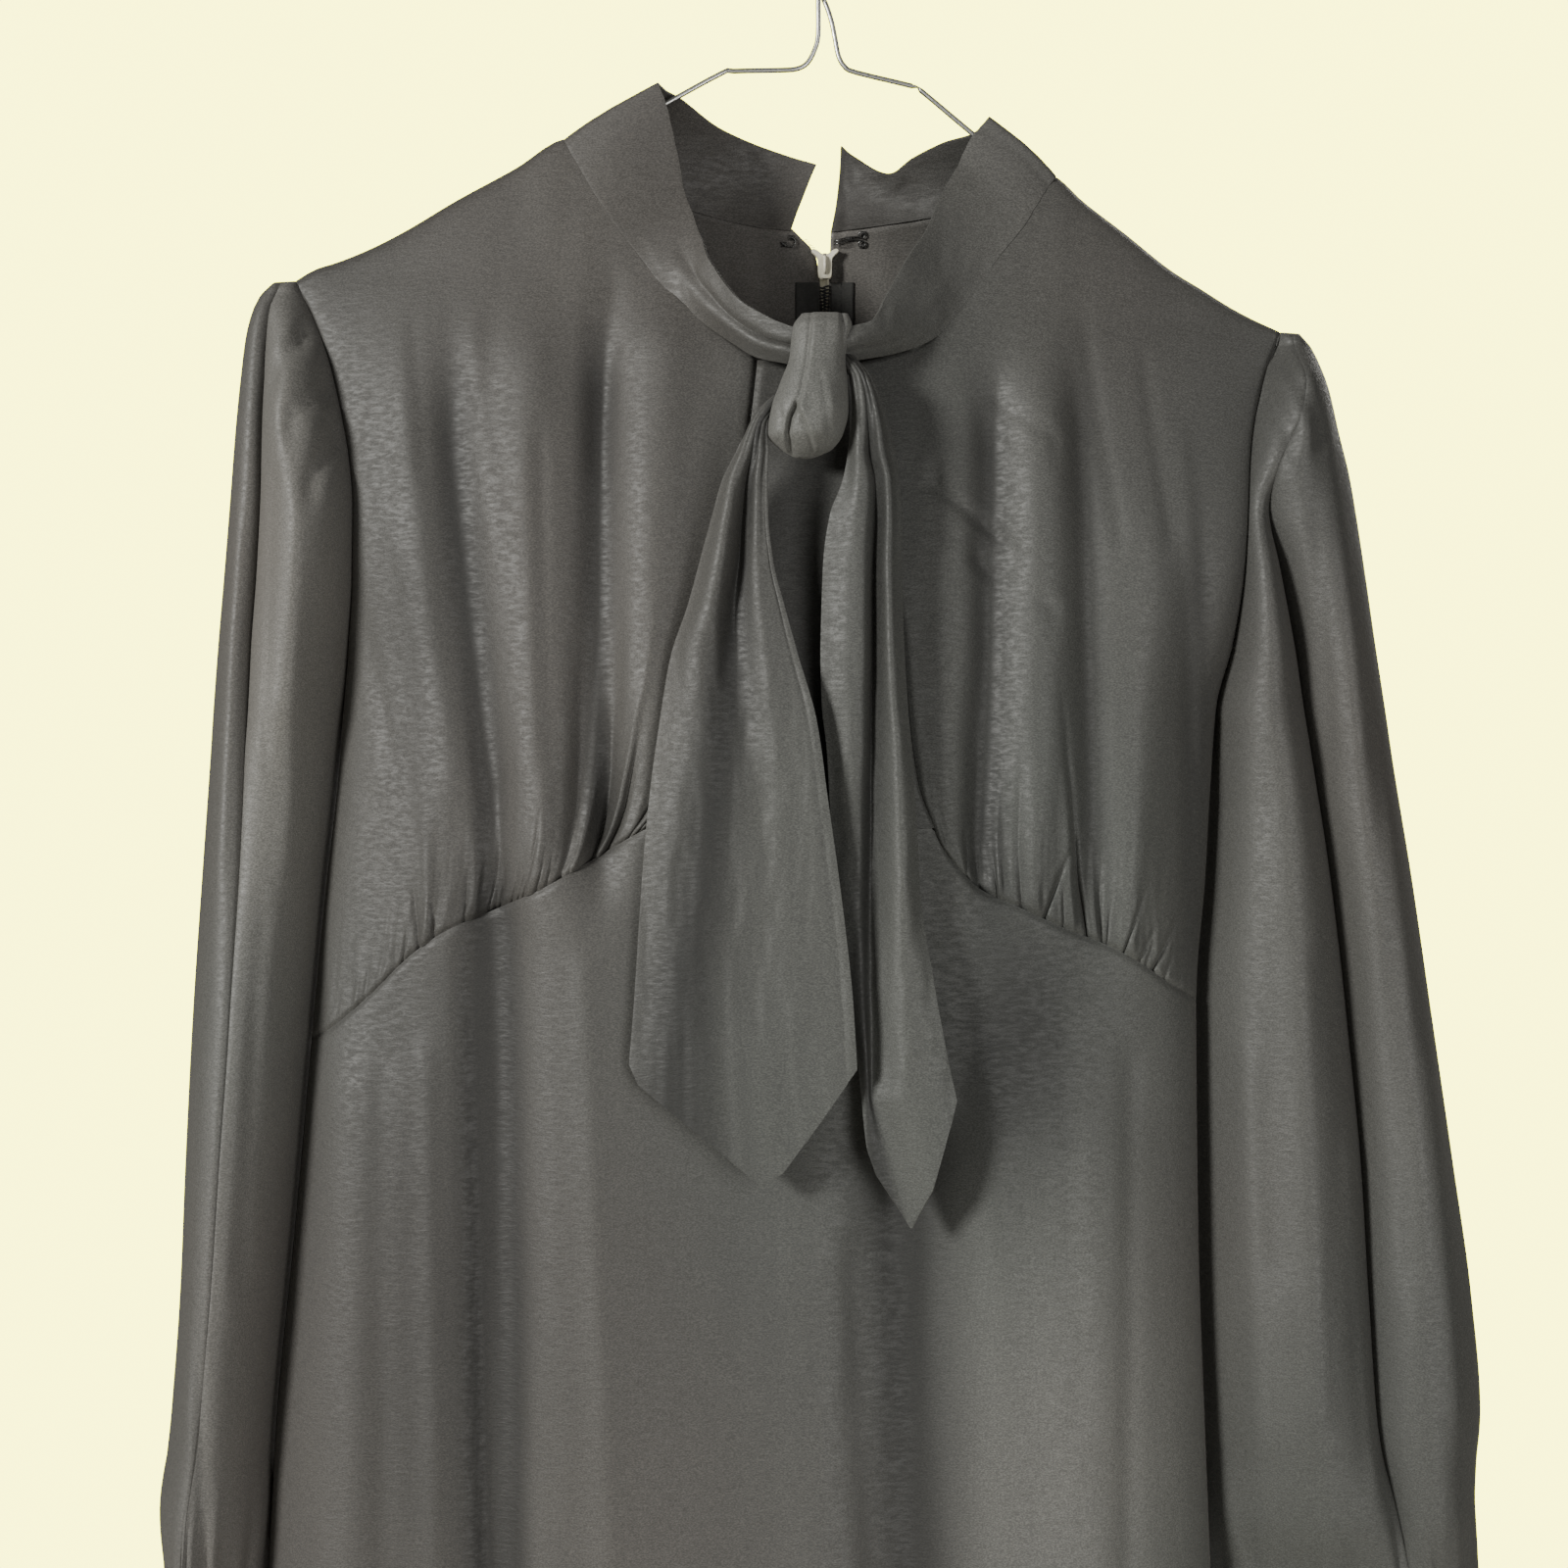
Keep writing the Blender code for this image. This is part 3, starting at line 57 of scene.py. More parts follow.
room.node_tree.links.new(seen.outputs[0], choose.inputs[2])
room.node_tree.links.new(choose.outputs[0], room_nodes["World Output"].inputs["Surface"])

camera_data = bpy.data.cameras.new("camera")
camera_data.lens = 56.25
camera_data.sensor_width = 36
camera_data.clip_start = 0.02
camera = bpy.data.objects.new("camera", camera_data)
camera.location = (-0.0182, -1.06, -0.439)
camera.rotation_euler = (math.radians(90), 0, 0)
bpy.context.scene.collection.objects.link(camera)
bpy.context.scene.camera = camera


def soft_light(name, place, aim, size, power, colour):
    lamp = bpy.data.lights.new(name, "AREA")
    lamp.shape = "DISK"
    lamp.size = size
    lamp.energy = power
    lamp.color = colour
    holder = bpy.data.objects.new(name, lamp)
    holder.location = place
    holder.rotation_euler = (Vector(aim) - Vector(place)).to_track_quat("-Z", "Y").to_euler()
    bpy.context.scene.collection.objects.link(holder)


soft_light("window_light", (-3.3, -2.75, 0.6), (0, 0, -0.5), 1.0, 300, (1.0, 0.995, 0.95))
soft_light("room_light", (1.2, -2.1, -0.3), (0, 0, -0.6), 1.5, 22, (1.0, 0.99, 0.96))
soft_light("low_light", (0.85, -1.45, -1.0), (0.1, 0, -0.75), 0.6, 8, (1.0, 0.99, 0.96))
soft_light("back_light", (0.9, 1.9, 0.5), (0, 0, -0.6), 1.4, 26, (1.0, 0.98, 0.94))

floor_mesh = bpy.data.meshes.new("floor")
bm = bmesh.new()
bmesh.ops.create_grid(bm, x_segments=2, y_segments=2, size=1.7)
bmesh.ops.translate(bm, verts=bm.verts, vec=(0, 0, -1.62))
bm.to_mesh(floor_mesh)
bm.free()
floor = bpy.data.objects.new("floor", floor_mesh)
bpy.context.scene.collection.objects.link(floor)
floor_paint = bpy.data.materials.new("floor_paint")
floor_paint.use_nodes = True
floor_paint.node_tree.nodes["Principled BSDF"].inputs["Base Color"].default_value = (0.72, 0.70, 0.62, 1)
floor_paint.node_tree.nodes["Principled BSDF"].inputs["Roughness"].default_value = 0.8
floor_mesh.materials.append(floor_paint)


# The hanger: one galvanized steel wire, bent round the shoulders. Its end is wound round the stem below
# the hook. It is bright, a little scratched and uneven in gloss.
class Table:
    """A short table with named columns, read anywhere along its first column on smooth lines."""

    def __init__(self, names, rows):
        self.names = names.split()
        self.rows = sorted(rows)
        self.keys = [row[0] for row in self.rows]
        self.lines = {name: [row[k] for row in self.rows] for k, name in enumerate(self.names)}

    def slope(self, values, i):
        steps = [(values[k + 1] - values[k]) / (self.keys[k + 1] - self.keys[k])
                 for k in (i - 1, i) if 0 <= k < len(values) - 1]
        if len(steps) == 1:
            return steps[0]
        if steps[0] * steps[1] <= 0:
            return 0.0
        return 2 * steps[0] * steps[1] / (steps[0] + steps[1])

    def __call__(self, name, at):
        values = self.lines[name]
        at = min(max(at, self.keys[0]), self.keys[-1])
        i = max(k for k in range(len(values) - 1) if k == 0 or self.keys[k] <= at)
        width = self.keys[i + 1] - self.keys[i]
        t = (at - self.keys[i]) / width
        return (
            values[i] * (1 + 2 * t) * (1 - t) ** 2
            + values[i + 1] * t * t * (3 - 2 * t)
            + self.slope(values, i) * width * t * (1 - t) ** 2
            + self.slope(values, i + 1) * width * t * t * (t - 1)
        )


def lerp(a, b, t):
    return a + (b - a) * t


def spline(points, steps):
    """A smooth line through points, with some steps between each two."""
    points = [Vector(p) for p in points]
    line = []
    for i in range(len(points) - 1):
        a, b = points[i], points[i + 1]
        before = points[i - 1] if i else a * 2 - b
        after = points[i + 2] if i + 2 < len(points) else b * 2 - a
        for k in range(steps):
            t = k / steps
            line.append(0.5 * (2 * a + (b - before) * t
                               + (2 * before - 5 * a + 4 * b - after) * t * t
                               + (3 * a - before - 3 * b + after) * t ** 3))
    return line + [points[-1]]


def along(points, share):
    """The place at a share of the way along a line of points."""
    steps = [(Vector(b) - Vector(a)).length for a, b in zip(points, points[1:])]
    left = share * sum(steps)
    for a, b, step in zip(points, points[1:], steps):
        if left <= step:
            return Vector(a).lerp(Vector(b), left / step)
        left -= step
    return Vector(points[-1])


def link_up(tree, *pairs):
    for output, target in pairs:
        tree.links.new(output, target)


def node(tree, kind, **values):
    """Adds a node, with its inputs set by name and its own settings by attribute."""
    made = tree.nodes.new(kind)
    for name, value in values.items():
        spaced = name.replace("_", " ").title()
        socket = made.inputs.get(spaced) or made.inputs.get(name)
        if socket is not None and not hasattr(made, name):
            socket.default_value = value
        else:
            setattr(made, name, value)
    return made


def stretched(tree, scale):
    """Object coordinates, stretched."""
    place = tree.nodes.new("ShaderNodeTexCoord")
    mapping = tree.nodes.new("ShaderNodeMapping")
    mapping.inputs["Scale"].default_value = scale
    tree.links.new(place.outputs["Object"], mapping.inputs["Vector"])
    return mapping.outputs["Vector"]


def ramp(tree, factor, stops):
    made = tree.nodes.new("ShaderNodeValToRGB")
    while len(made.color_ramp.elements) < len(stops):
        made.color_ramp.elements.new(0.5)
    for element, (position, colour) in zip(made.color_ramp.elements, stops):
        element.position = position
        element.color = (*colour, 1) if len(colour) == 3 else colour
    tree.links.new(factor, made.inputs["Fac"])
    return made.outputs["Color"]


def metal(name, dark, light, roughness, grain):
    """Metal or enamel with faint drawing marks, uneven in gloss."""
    finish = bpy.data.materials.new(name)
    finish.use_nodes = True
    tree = finish.node_tree
    shader = tree.nodes["Principled BSDF"]
    cloud = node(tree, "ShaderNodeTexNoise")
    cloud.inputs["Scale"].default_value = grain
    cloud.inputs["Detail"].default_value = 4
    link_up(tree, (stretched(tree, (1, 1, 0.4)), cloud.inputs["Vector"]))
    colour = ramp(tree, cloud.outputs["Fac"], [(0.3, dark), (0.7, light)])
    gloss = ramp(tree, cloud.outputs["Fac"], [(0.3, (roughness + 0.12,) * 3),
                                             (0.7, (roughness - 0.08,) * 3)])
    bump = node(tree, "ShaderNodeBump")
    bump.inputs["Strength"].default_value = 0.25
    bump.inputs["Distance"].default_value = 0.0001
    link_up(tree, (colour, shader.inputs["Base Color"]), (gloss, shader.inputs["Roughness"]),
            (cloud.outputs["Fac"], bump.inputs["Height"]),
            (bump.outputs["Normal"], shader.inputs["Normal"]))
    return finish


galvanized = metal("galvanized_wire", (0.42, 0.42, 0.41), (0.66, 0.66, 0.64), 0.34, 900)
galvanized.node_tree.nodes["Principled BSDF"].inputs["Metallic"].default_value = 1.0
MM = 0.001
WIRE_RADIUS = 1.1
HOOK_TURN = 22.0
STEM_X = -3.4
SHOULDER = Table("x z", [
    (-229.0, -221.5), (-220.4, -216.6), (-211.9, -214.0), (-199.2, -209.0), (-184.4, -201.7),
    (-158.6, -186.5), (-134.5, -173.4), (-111.7, -160.2), (-60.0, -158.0), (0.0, -163.0),
    (60.0, -171.0), (96.9, -175.9), (111.7, -188.2), (129.4, -201.7), (148.9, -217.3),
    (162.0, -225.4), (174.7, -233.4), (184.4, -238.5), (195.8, -243.6),
])


def arc(centre, radius, start, stop, steps):
    """Points on an arc in the plane of the hanger, by its angles in degrees."""
    turns = [math.radians(lerp(start, stop, k / steps)) for k in range(steps + 1)]
    return [(centre[0] + radius * math.cos(a), 0, centre[1] + radius * math.sin(a)) for a in turns]


def under_shoulder(xs):
    return [(x, 0, SHOULDER("z", x) - 2.4) for x in xs]


def wire(name, points, radius, finish, sides, steps):
    """A wire of round section along a line of points, made a mesh."""
    curve = bpy.data.curves.new(name, "CURVE")
    curve.dimensions = "3D"
    curve.bevel_depth = radius * MM
    curve.bevel_resolution = sides
    curve.use_fill_caps = True
    line = curve.splines.new("POLY")
    points = spline(points, steps)
    line.points.add(len(points) - 1)
    for point, place in zip(line.points, points):
        point.co = (*(Vector(place) * MM), 1)
    holder = bpy.data.objects.new(name + "_line", curve)
    bpy.context.scene.collection.objects.link(holder)
    graph = bpy.context.evaluated_depsgraph_get()
    mesh = bpy.data.meshes.new_from_object(holder.evaluated_get(graph))
    bpy.data.objects.remove(holder, do_unlink=True)
    mesh.name = name
    mesh.materials.clear()
    mesh.materials.append(finish)
    bm = bmesh.new()
    bm.from_mesh(mesh)
    bmesh.ops.remove_doubles(bm, verts=bm.verts, dist=1e-7)
    bmesh.ops.recalc_face_normals(bm, faces=bm.faces)
    bm.to_mesh(mesh)
    bm.free()
    mesh.shade_smooth()
    made = bpy.data.objects.new(name, mesh)
    bpy.context.scene.collection.objects.link(made)
    return made


bend = arc((0, WIRE_RADIUS - HOOK_TURN), HOOK_TURN, 200, -50, 14)
bend += [(7.5, 0, -43.5), (2.0, 0, -48.0), (-1.6, 0, -54.0), (STEM_X, 0, -62.0),
         (STEM_X, 0, -84.0), (STEM_X, 0, -100.0), (STEM_X, 0, -115.0), (-5.0, 0, -121.5),
         (-8.0, 0, -127.0), (-12.5, 0, -129.6), (-20.0, 0, -130.2), (-40.0, 0, -130.6),
         (-45.0, 0, -131.4), (-67.8, 0, -143.8), (-90.0, 0, -156.4), (-106.0, 0, -165.0)]
bend += under_shoulder((-124, -140, -160, -184))
bend += arc((-198.0, -223.0), 10.0, 118, 265, 7)
bend += arc((178.0, -249.4), 10.0, 275, 418, 7)
bend += under_shoulder((160, 148, 130, 111))
bend += [(97.0, 0, -181.5), (80.0, 0, -170.5), (63.6, 0, -157.9), (41.0, 0, -139.0),
         (37.0, 0, -137.0), (13.0, 0, -131.2), (8.0, 0, -128.6), (5.4, 0, -124.0),
         (4.0, 0, -117.0), (2.6, 0, -110.0), (0.8, 0, -104.0)]
for k in range(23):
    turn = 2 * math.pi * k / 9
    bend.append((STEM_X + 2.55 * math.cos(turn), -2.55 * math.sin(turn), -100 + 6 * k / 9))
hanger = wire("hanger_wire", bend, WIRE_RADIUS, galvanized, sides=4, steps=3)
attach(hanger, "dress")
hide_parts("hanger")


# The bust panels: charcoal crepe with its crinkled face out. Each is gathered
# along the seam under the bust, set into the armhole, and sewn to the tongue of the skirt.
SIGN = {"left": -1, "right": 1}
SIDES = Table("z left right", [
    (-222, -229.0, 196.0), (-235, -222.5, 195.6), (-247, -217.2, 194.0), (-260, -212.6, 189.6),
    (-280, -207.4, 184.0), (-300, -203.4, 180.9), (-320, -201.6, 179.5), (-350, -202.4, 177.9),
    (-380, -205.3, 174.2), (-405, -208.0, 168.4), (-440, -210.7, 165.7), (-480, -215.4, 163.4),
    (-530, -220.3, 159.6), (-560, -223.0, 159.8), (-600, -226.5, 160.2), (-640, -230.2, 160.8),
    (-710, -237.0, 163.2), (-776, -240.8, 165.8), (-900, -247.0, 170.0), (-1230, -262.0, 181.0),
])
DEPTHS = Table("z front back", [
    (-150, 10.0, 39.5), (-190, 18.0, 39.0), (-226, 25.0, 37.2), (-262, 32.0, 36.4),
    (-350, 40.5, 35.5), (-450, 45.0, 34.5), (-545, 43.5, 33.0), (-700, 46.5, 35.0),
    (-900, 52.0, 38.0), (-1230, 58.0, 42.0),
])
SHOULDER_TIP = {"left": (-229.0, -221.5), "right": (195.8, -243.6)}
SHOULDER_NECK = {"left": (-111.7, -160.2), "right": (96.9, -175.9)}
UNDERARM_Z = {"left": -405.0, "right": -408.0}
BACK_SEAM_Z = {"left": -549.0, "right": -532.0}
SHOULDER_ROLL = {"front": 160.0, "back": 60.0}
FRONT_FOLDS = ("top_x top_z bottom_x bottom_z half_width height", [
    (-180.0, -277, -161.0, -431, 11, 4.5), (-159.0, -293, -140.2, -440, 10, -6.0),
    (-126.6, -269, -122.6, -459, 14, 5.0), (-95.2, -277, -95.0, -459, 9, -7.0),
    (-69.0, -259, -76.0, -399, 15, 6.0), (69.0, -300, 67.0, -459, 9, -6.0),
    (89.8, -285, 90.0, -459, 12, 5.0), (107.3, -293, 112.2, -467, 8, -4.5),
    (134.6, -342, 131.6, -480, 13, 4.5), (156.0, -366, 155.0, -500, 8, -4.0),
    (-138.6, -500, -133.0, -1300, 13, -9.0), (-205.6, -580, -206.6, -1300, 20, 7.0),
    (-100.0, -500, -56.0, -1300, 30, 6.0), (32.0, -600, 58.0, -1300, 22, -9.0),
    (108.0, -600, 112.0, -1300, 34, 8.0), (-8.0, -640, 14.0, -1300, 20, 3.5),
])
BACK_FOLDS = ("top_x top_z bottom_x bottom_z half_width height", [
    (-120.0, -300, -135.0, -520, 18, 4.0), (90.0, -310, 100.0, -520, 18, 4.0),
    (-150.0, -580, -165.0, -1300, 24, -7.0), (-75.0, -600, -85.0, -1300, 30, 6.0),
    (70.0, -600, 80.0, -1300, 28, -7.0), (125.0, -620, 135.0, -1300, 26, 5.0),
])
# Soft patches of painted light and painted shade on the front, lighter or darker than the rest. They stand
# in for how the light falls, and the fourth is a painted shadow beside the right tie.
PAINTED_LIGHT_PATCHES = ("x z wide tall amount", [
    (88.0, -730.0, 60.0, 140.0, 1.10), (150.0, -700.0, 30.0, 200.0, 0.50),
    (-180.0, -670.0, 48.0, 180.0, -0.70), (79.0, -548.0, 30.0, 62.0, -1.40),
    (-174.0, -380.0, 22.0, 80.0, -0.45), (-95.0, -640.0, 40.0, 150.0, -0.25),
])
# Smaller creases of the front, sharper than the folds.
FRONT_CREASES = ("top_x top_z bottom_x bottom_z half_width height", [
    (71.3, -279, 94.4, -293.2, 3.5, -1.3), (45.4, -315.5, 77.8, -339.8, 4.0, -1.5),
    (62.4, -347.5, 93.2, -364.5, 4.0, -1.3), (-206, -330, -186, -420, 4.5, -1.4),
    (-176.0, -250, -171.0, -300, 4.0, -1.0), (-120.0, -300, -116.0, -420, 4.0, -1.2),
    (-150.0, -250, -141.0, -330, 5.0, 1.0), (110.0, -250, 122.0, -330, 4.0, -1.2),
    (135.0, -265, 143.0, -330, 4.0, -1.2), (150.0, -300, 160.0, -420, 4.0, 1.2),
    (-195.0, -300, -178.0, -350, 4.0, 1.0), (-90.0, -230, -95.0, -300, 5.0, -1.0),
    (-168.0, -560, -160.0, -900, 5.0, 1.3), (-150.0, -520, -141.0, -800, 4.0, -1.6),
    (-100.0, -520, -88.0, -760, 6.0, 1.2), (-188.0, -560, -186.0, -900, 6.0, -1.2),
    (128.0, -560, 124.0, -900, 5.0, -1.6), (68.0, -560, 82.0, -820, 7.0, 1.4),
    (100.0, -545, 104.0, -700, 5.0, -1.0), (10.0, -640, 20.0, -800, 6.0, -1.4),
])


def fold_height(folds, x, z, fade_out=60.0):
    """How far the folds of a table push the cloth out at a place seen from the front."""
    total = 0.0
    for top_x, top_z, bottom_x, bottom_z, half_width, height in folds[1]:
        share = (top_z - z) / (top_z - bottom_z)
        middle = top_x + (bottom_x - top_x) * min(max(share, 0), 1)
        if abs(x - middle) > 3 * half_width:
            continue
        past_end = max(z - top_z, bottom_z - z, 0)
        fade = math.exp(-((past_end / fade_out) ** 2) * 4)
        total += height * fade * math.exp(-(((x - middle) / half_width) ** 2))
    return total


def armhole_half_depth(side, z):
    """Half of the armhole's width from front to back."""
    top, bottom = SHOULDER_TIP[side][1], UNDERARM_Z[side]
    share = min(max((z - bottom) / (top - bottom), 0), 1)
    return 17.0 * math.sin(math.pi * share) ** (1.7 - share)


def unevenness(x, z, seed):
    """Small uneven swells of hanging cloth, longer than they are wide."""
    wide = noise.noise(Vector((x / 34, z / 120, seed)))
    fine = noise.noise(Vector((x / 11, z / 42, seed + 7)))
    return 0.9 * wide + 0.38 * fine


def body_y(face, x, z):
    """The place in depth of the front or back cloth, in the middle of its wall."""
    left, right = SIDES("left", z), SIDES("right", z)
    across = min(max((2 * x - left - right) / (right - left), -1), 1)
    edge = armhole_half_depth("left" if across < 0 else "right", z)
    roundness = math.sqrt(max(0, 1 - abs(across) ** 2.4))
    roll = SHOULDER_ROLL[face]
    drop = min(max(SHOULDER("z", x) - z, 0), roll)
    below_shoulder = math.sqrt(1 - (1 - drop / roll) ** 2)
    folds = FRONT_FOLDS if face == "front" else BACK_FOLDS
    depth = (edge + (DEPTHS(face, z) - edge) * roundness) * below_shoulder
    out = fold_height(folds, x, z) + unevenness(x, z, 1 if face == "front" else 5)
    if face == "front":
        out += fold_height(FRONT_CREASES, x, z, 22)
    depth += 0.4 + out * roundness * below_shoulder
    return -depth if face == "front" else depth


def on_body(face, x, z):
    return Vector((x, body_y(face, x, z), z))


def tuck(distance):
    """How far the cloth dips towards a seam that lies this far away."""
    return 1.1 * math.exp(-((distance / 1.7) ** 2))


def front_painted_light(u, v, spot):
    """How much painted light or shade the front gets at a place: painted shade in its folds, a little
    painted light on their ridges, and the patches.
    """
    folds = fold_height(FRONT_FOLDS, spot.x, spot.z)
    total = folds / (5.5 if folds < 0 else 40)
    for x, z, wide, tall, amount in PAINTED_LIGHT_PATCHES[1]:
        total += amount * math.exp(-(((spot.x - x) / wide) ** 2) - ((spot.z - z) / tall) ** 2)
    return max(total, -1.2)


WELD_DISTANCE = 2e-6


def no_painted_light(u, v, spot):
    return 0.0


def cloth(name, columns, rows, place, wall, finish, weld=False, facing=None, tone=no_painted_light):
    """A thin wall of cloth on a surface that place(u, v) gives in millimetres."""
    bm = bmesh.new()
    # Each vertex keeps its painted light or shade in the "tone" attribute, and the crepe multiplies it
    # into its colour.
    toned = bm.verts.layers.float.new("tone")
    made = bmesh.ops.create_grid(bm, x_segments=columns, y_segments=rows, size=0.5)
    for vert in made["verts"]:
        u, v = vert.co.x + 0.5, vert.co.y + 0.5
        spot = place(u, v)
        vert[toned] = tone(u, v, spot)
        vert.co = spot * MM
    if weld:
        bmesh.ops.remove_doubles(bm, verts=bm.verts, dist=WELD_DISTANCE)
    bm.normal_update()
    if facing is not None:
        faces = list(bm.faces)
        total = sum((f.normal * f.calc_area() for f in faces), Vector())
        if total.dot(Vector(facing)) < 0:
            bmesh.ops.reverse_faces(bm, faces=faces)
    else:
        bmesh.ops.recalc_face_normals(bm, faces=bm.faces)
    mesh = bpy.data.meshes.new(name)
    bm.to_mesh(mesh)
    bm.free()
    mesh.shade_smooth()
    mesh.materials.append(finish)
    piece = bpy.data.objects.new(name, mesh)
    bpy.context.scene.collection.objects.link(piece)
    solid = piece.modifiers.new("wall", "SOLIDIFY")
    solid.thickness = wall * MM
    solid.offset = 0
    return piece


# How strongly the painted light and shade scale the crepe's colour.
PAINTED_LIGHT_STRENGTH = 0.6


def crepe(name, grain=1.0):
    """Crinkled charcoal crepe: short crosswise crinkles, a soft broken sheen and a little lint."""
    finish = bpy.data.materials.new(name)
    finish.use_nodes = True
    tree = finish.node_tree
    shader = tree.nodes["Principled BSDF"]
    crinkle = node(tree, "ShaderNodeTexNoise")
    crinkle.inputs["Scale"].default_value = 520
    crinkle.inputs["Detail"].default_value = 2.5
    crinkle.inputs["Roughness"].default_value = 0.55
    crinkle.inputs["Distortion"].default_value = 0.35
    thread = node(tree, "ShaderNodeTexNoise")
    thread.inputs["Scale"].default_value = 2300
    thread.inputs["Detail"].default_value = 2
    cloud = node(tree, "ShaderNodeTexNoise")
    cloud.inputs["Scale"].default_value = 8
    cloud.inputs["Detail"].default_value = 5
    fade = node(tree, "ShaderNodeTexNoise")
    fade.inputs["Scale"].default_value = 3
    fade.inputs["Detail"].default_value = 2
    # The "tone" attribute holds painted light and shade, and the crepe's colour is multiplied by it.
    tone = node(tree, "ShaderNodeAttribute", attribute_name="tone")
    toned = node(tree, "ShaderNodeMath", operation="MULTIPLY_ADD")
    toned.inputs[1].default_value = PAINTED_LIGHT_STRENGTH
    toned.inputs[2].default_value = 1.0
    painted_light_cloth = node(tree, "ShaderNodeMix", data_type="RGBA", blend_type="MULTIPLY")
    painted_light_cloth.inputs["Factor"].default_value = 1.0
    lint = node(tree, "ShaderNodeTexVoronoi")
    lint.inputs["Scale"].default_value = 70
    link_up(tree, (stretched(tree, (0.34, 0.8, 1.35)), crinkle.inputs["Vector"]),
            (stretched(tree, (0.5, 1, 1.25)), thread.inputs["Vector"]),
            (stretched(tree, (1, 1, 0.45)), cloud.inputs["Vector"]),
            (stretched(tree, (1, 1, 0.7)), fade.inputs["Vector"]),
            (stretched(tree, (1.6, 1, 0.8)), lint.inputs["Vector"]))
    base = ramp(tree, cloud.outputs["Fac"], [
        (0.32, (0.0425, 0.0425, 0.0400)), (0.52, (0.0485, 0.0482, 0.0450)),
        (0.70, (0.0550, 0.0543, 0.0500))])
    cast = ramp(tree, fade.outputs["Fac"], [
        (0.36, (0.95, 1.0, 0.99)), (0.50, (1, 1, 1)), (0.64, (1.07, 1.0, 0.99))])
    fleck = ramp(tree, thread.outputs["Fac"], [(0.42, (0.70,) * 3), (0.62, (1.28,) * 3)])
    aged = node(tree, "ShaderNodeMix", data_type="RGBA", blend_type="MULTIPLY")
    aged.inputs["Factor"].default_value = 1.0
    tinted = node(tree, "ShaderNodeMix", data_type="RGBA", blend_type="MULTIPLY")
    tinted.inputs["Factor"].default_value = 1.0
    linted = node(tree, "ShaderNodeMix", data_type="RGBA")
    linted.inputs["B"].default_value = (0.55, 0.53, 0.48, 1)
    rare = ramp(tree, lint.outputs["Color"], [(0.965, (0, 0, 0)), (0.985, (1, 1, 1))])
    close = ramp(tree, lint.outputs["Distance"], [(0.035, (1, 1, 1)), (0.060, (0, 0, 0))])
    speck = node(tree, "ShaderNodeMath", operation="MULTIPLY")
    gloss = ramp(tree, crinkle.outputs["Fac"], [(0.36, (0.70,) * 3), (0.64, (0.52,) * 3)])
    relief = node(tree, "ShaderNodeMath", operation="MULTIPLY_ADD")
    relief.inputs[1].default_value = 0.22
    bump = node(tree, "ShaderNodeBump")
    bump.inputs["Strength"].default_value = 0.6 * grain
    bump.inputs["Distance"].default_value = 0.00030
    link_up(tree, (base, aged.inputs["A"]), (cast, aged.inputs["B"]),
            (aged.outputs["Result"], tinted.inputs["A"]), (fleck, tinted.inputs["B"]),
            (tone.outputs["Fac"], toned.inputs[0]),
            (tinted.outputs["Result"], painted_light_cloth.inputs["A"]),
            (toned.outputs[0], painted_light_cloth.inputs["B"]),
            (painted_light_cloth.outputs["Result"], linted.inputs["A"]),
            (rare, speck.inputs[0]), (close, speck.inputs[1]),
            (speck.outputs[0], linted.inputs["Factor"]),
            (linted.outputs["Result"], shader.inputs["Base Color"]),
            (gloss, shader.inputs["Roughness"]),
            (thread.outputs["Fac"], relief.inputs[0]), (crinkle.outputs["Fac"], relief.inputs[2]),
            (relief.outputs[0], bump.inputs["Height"]),
            (bump.outputs["Normal"], shader.inputs["Normal"]))
    shader.inputs["Specular IOR Level"].default_value = 0.42
    shader.inputs["Sheen Weight"].default_value = 0.06
    shader.inputs["Sheen Roughness"].default_value = 0.5
    shader.inputs["Sheen Tint"].default_value = (1.0, 0.95, 0.88, 1)
    return finish


body_crepe = crepe("charcoal_crepe")
CREPE_WALL = 0.9
UNDERBUST = {
    "left": Table("x z", [
        (-222.8, -549.0), (-212.3, -543.7), (-195.6, -530.4), (-174.5, -510.5),
        (-159.5, -500.3), (-137.2, -490.6), (-118.5, -482.4), (-102.2, -473.1),
        (-83.6, -462.1), (-75.0, -457.3),
    ]),
    "right": Table("x z", [
        (44.2, -457.3), (47.6, -465.0), (55.3, -475.1), (63.4, -482.8), (81.3, -491.0),
        (98.7, -499.1), (117.8, -506.8), (132.4, -514.5), (143.8, -522.6), (160.0, -532.0),
    ]),
}
TONGUE_FOOT_Z = -457.3
TONGUE = Table("z left right", [
    (-457.3, -75.0, 44.2), (-450.0, -68.0, 41.4), (-439.0, -61.6, 37.8), (-411.0, -52.7, 33.8),
    (-375.0, -44.8, 30.4), (-333.0, -38.5, 20.8), (-288.0, -32.4, 14.3), (-262.0, -29.5, 9.4),
])
FRONT_NECK = {
    "left": [(-111.7, -160.2), (-100.4, -182.0), (-86.0, -204.4), (-70.1, -225.6),
             (-52.5, -242.8), (-38.9, -254.0), (-29.5, -260.8)],
    "right": [(96.9, -175.9), (91.2, -186.5), (82.2, -201.3), (71.2, -215.2), (58.2, -234.5),
              (49.8, -245.4), (39.4, -254.0), (24.9, -259.2), (9.4, -262.8)],
}
FAN = {
    "left": Table("x top", [
        (-222.8, 0.0), (-179.3, 0.13), (-165.1, 0.20), (-142.3, 0.30), (-121.6, 0.38),
        (-112.3, 0.43), (-102.1, 0.50), (-94.8, 0.62), (-83.0, 0.80), (-75.0, 1.0),
    ]),
    "right": Table("x top", [
        (44.2, 1.0), (57.0, 0.80), (66.8, 0.64), (81.4, 0.50), (90.7, 0.44),
        (108.6, 0.33), (125.2, 0.22), (139.4, 0.13), (160.0, 0.0),
    ]),
}
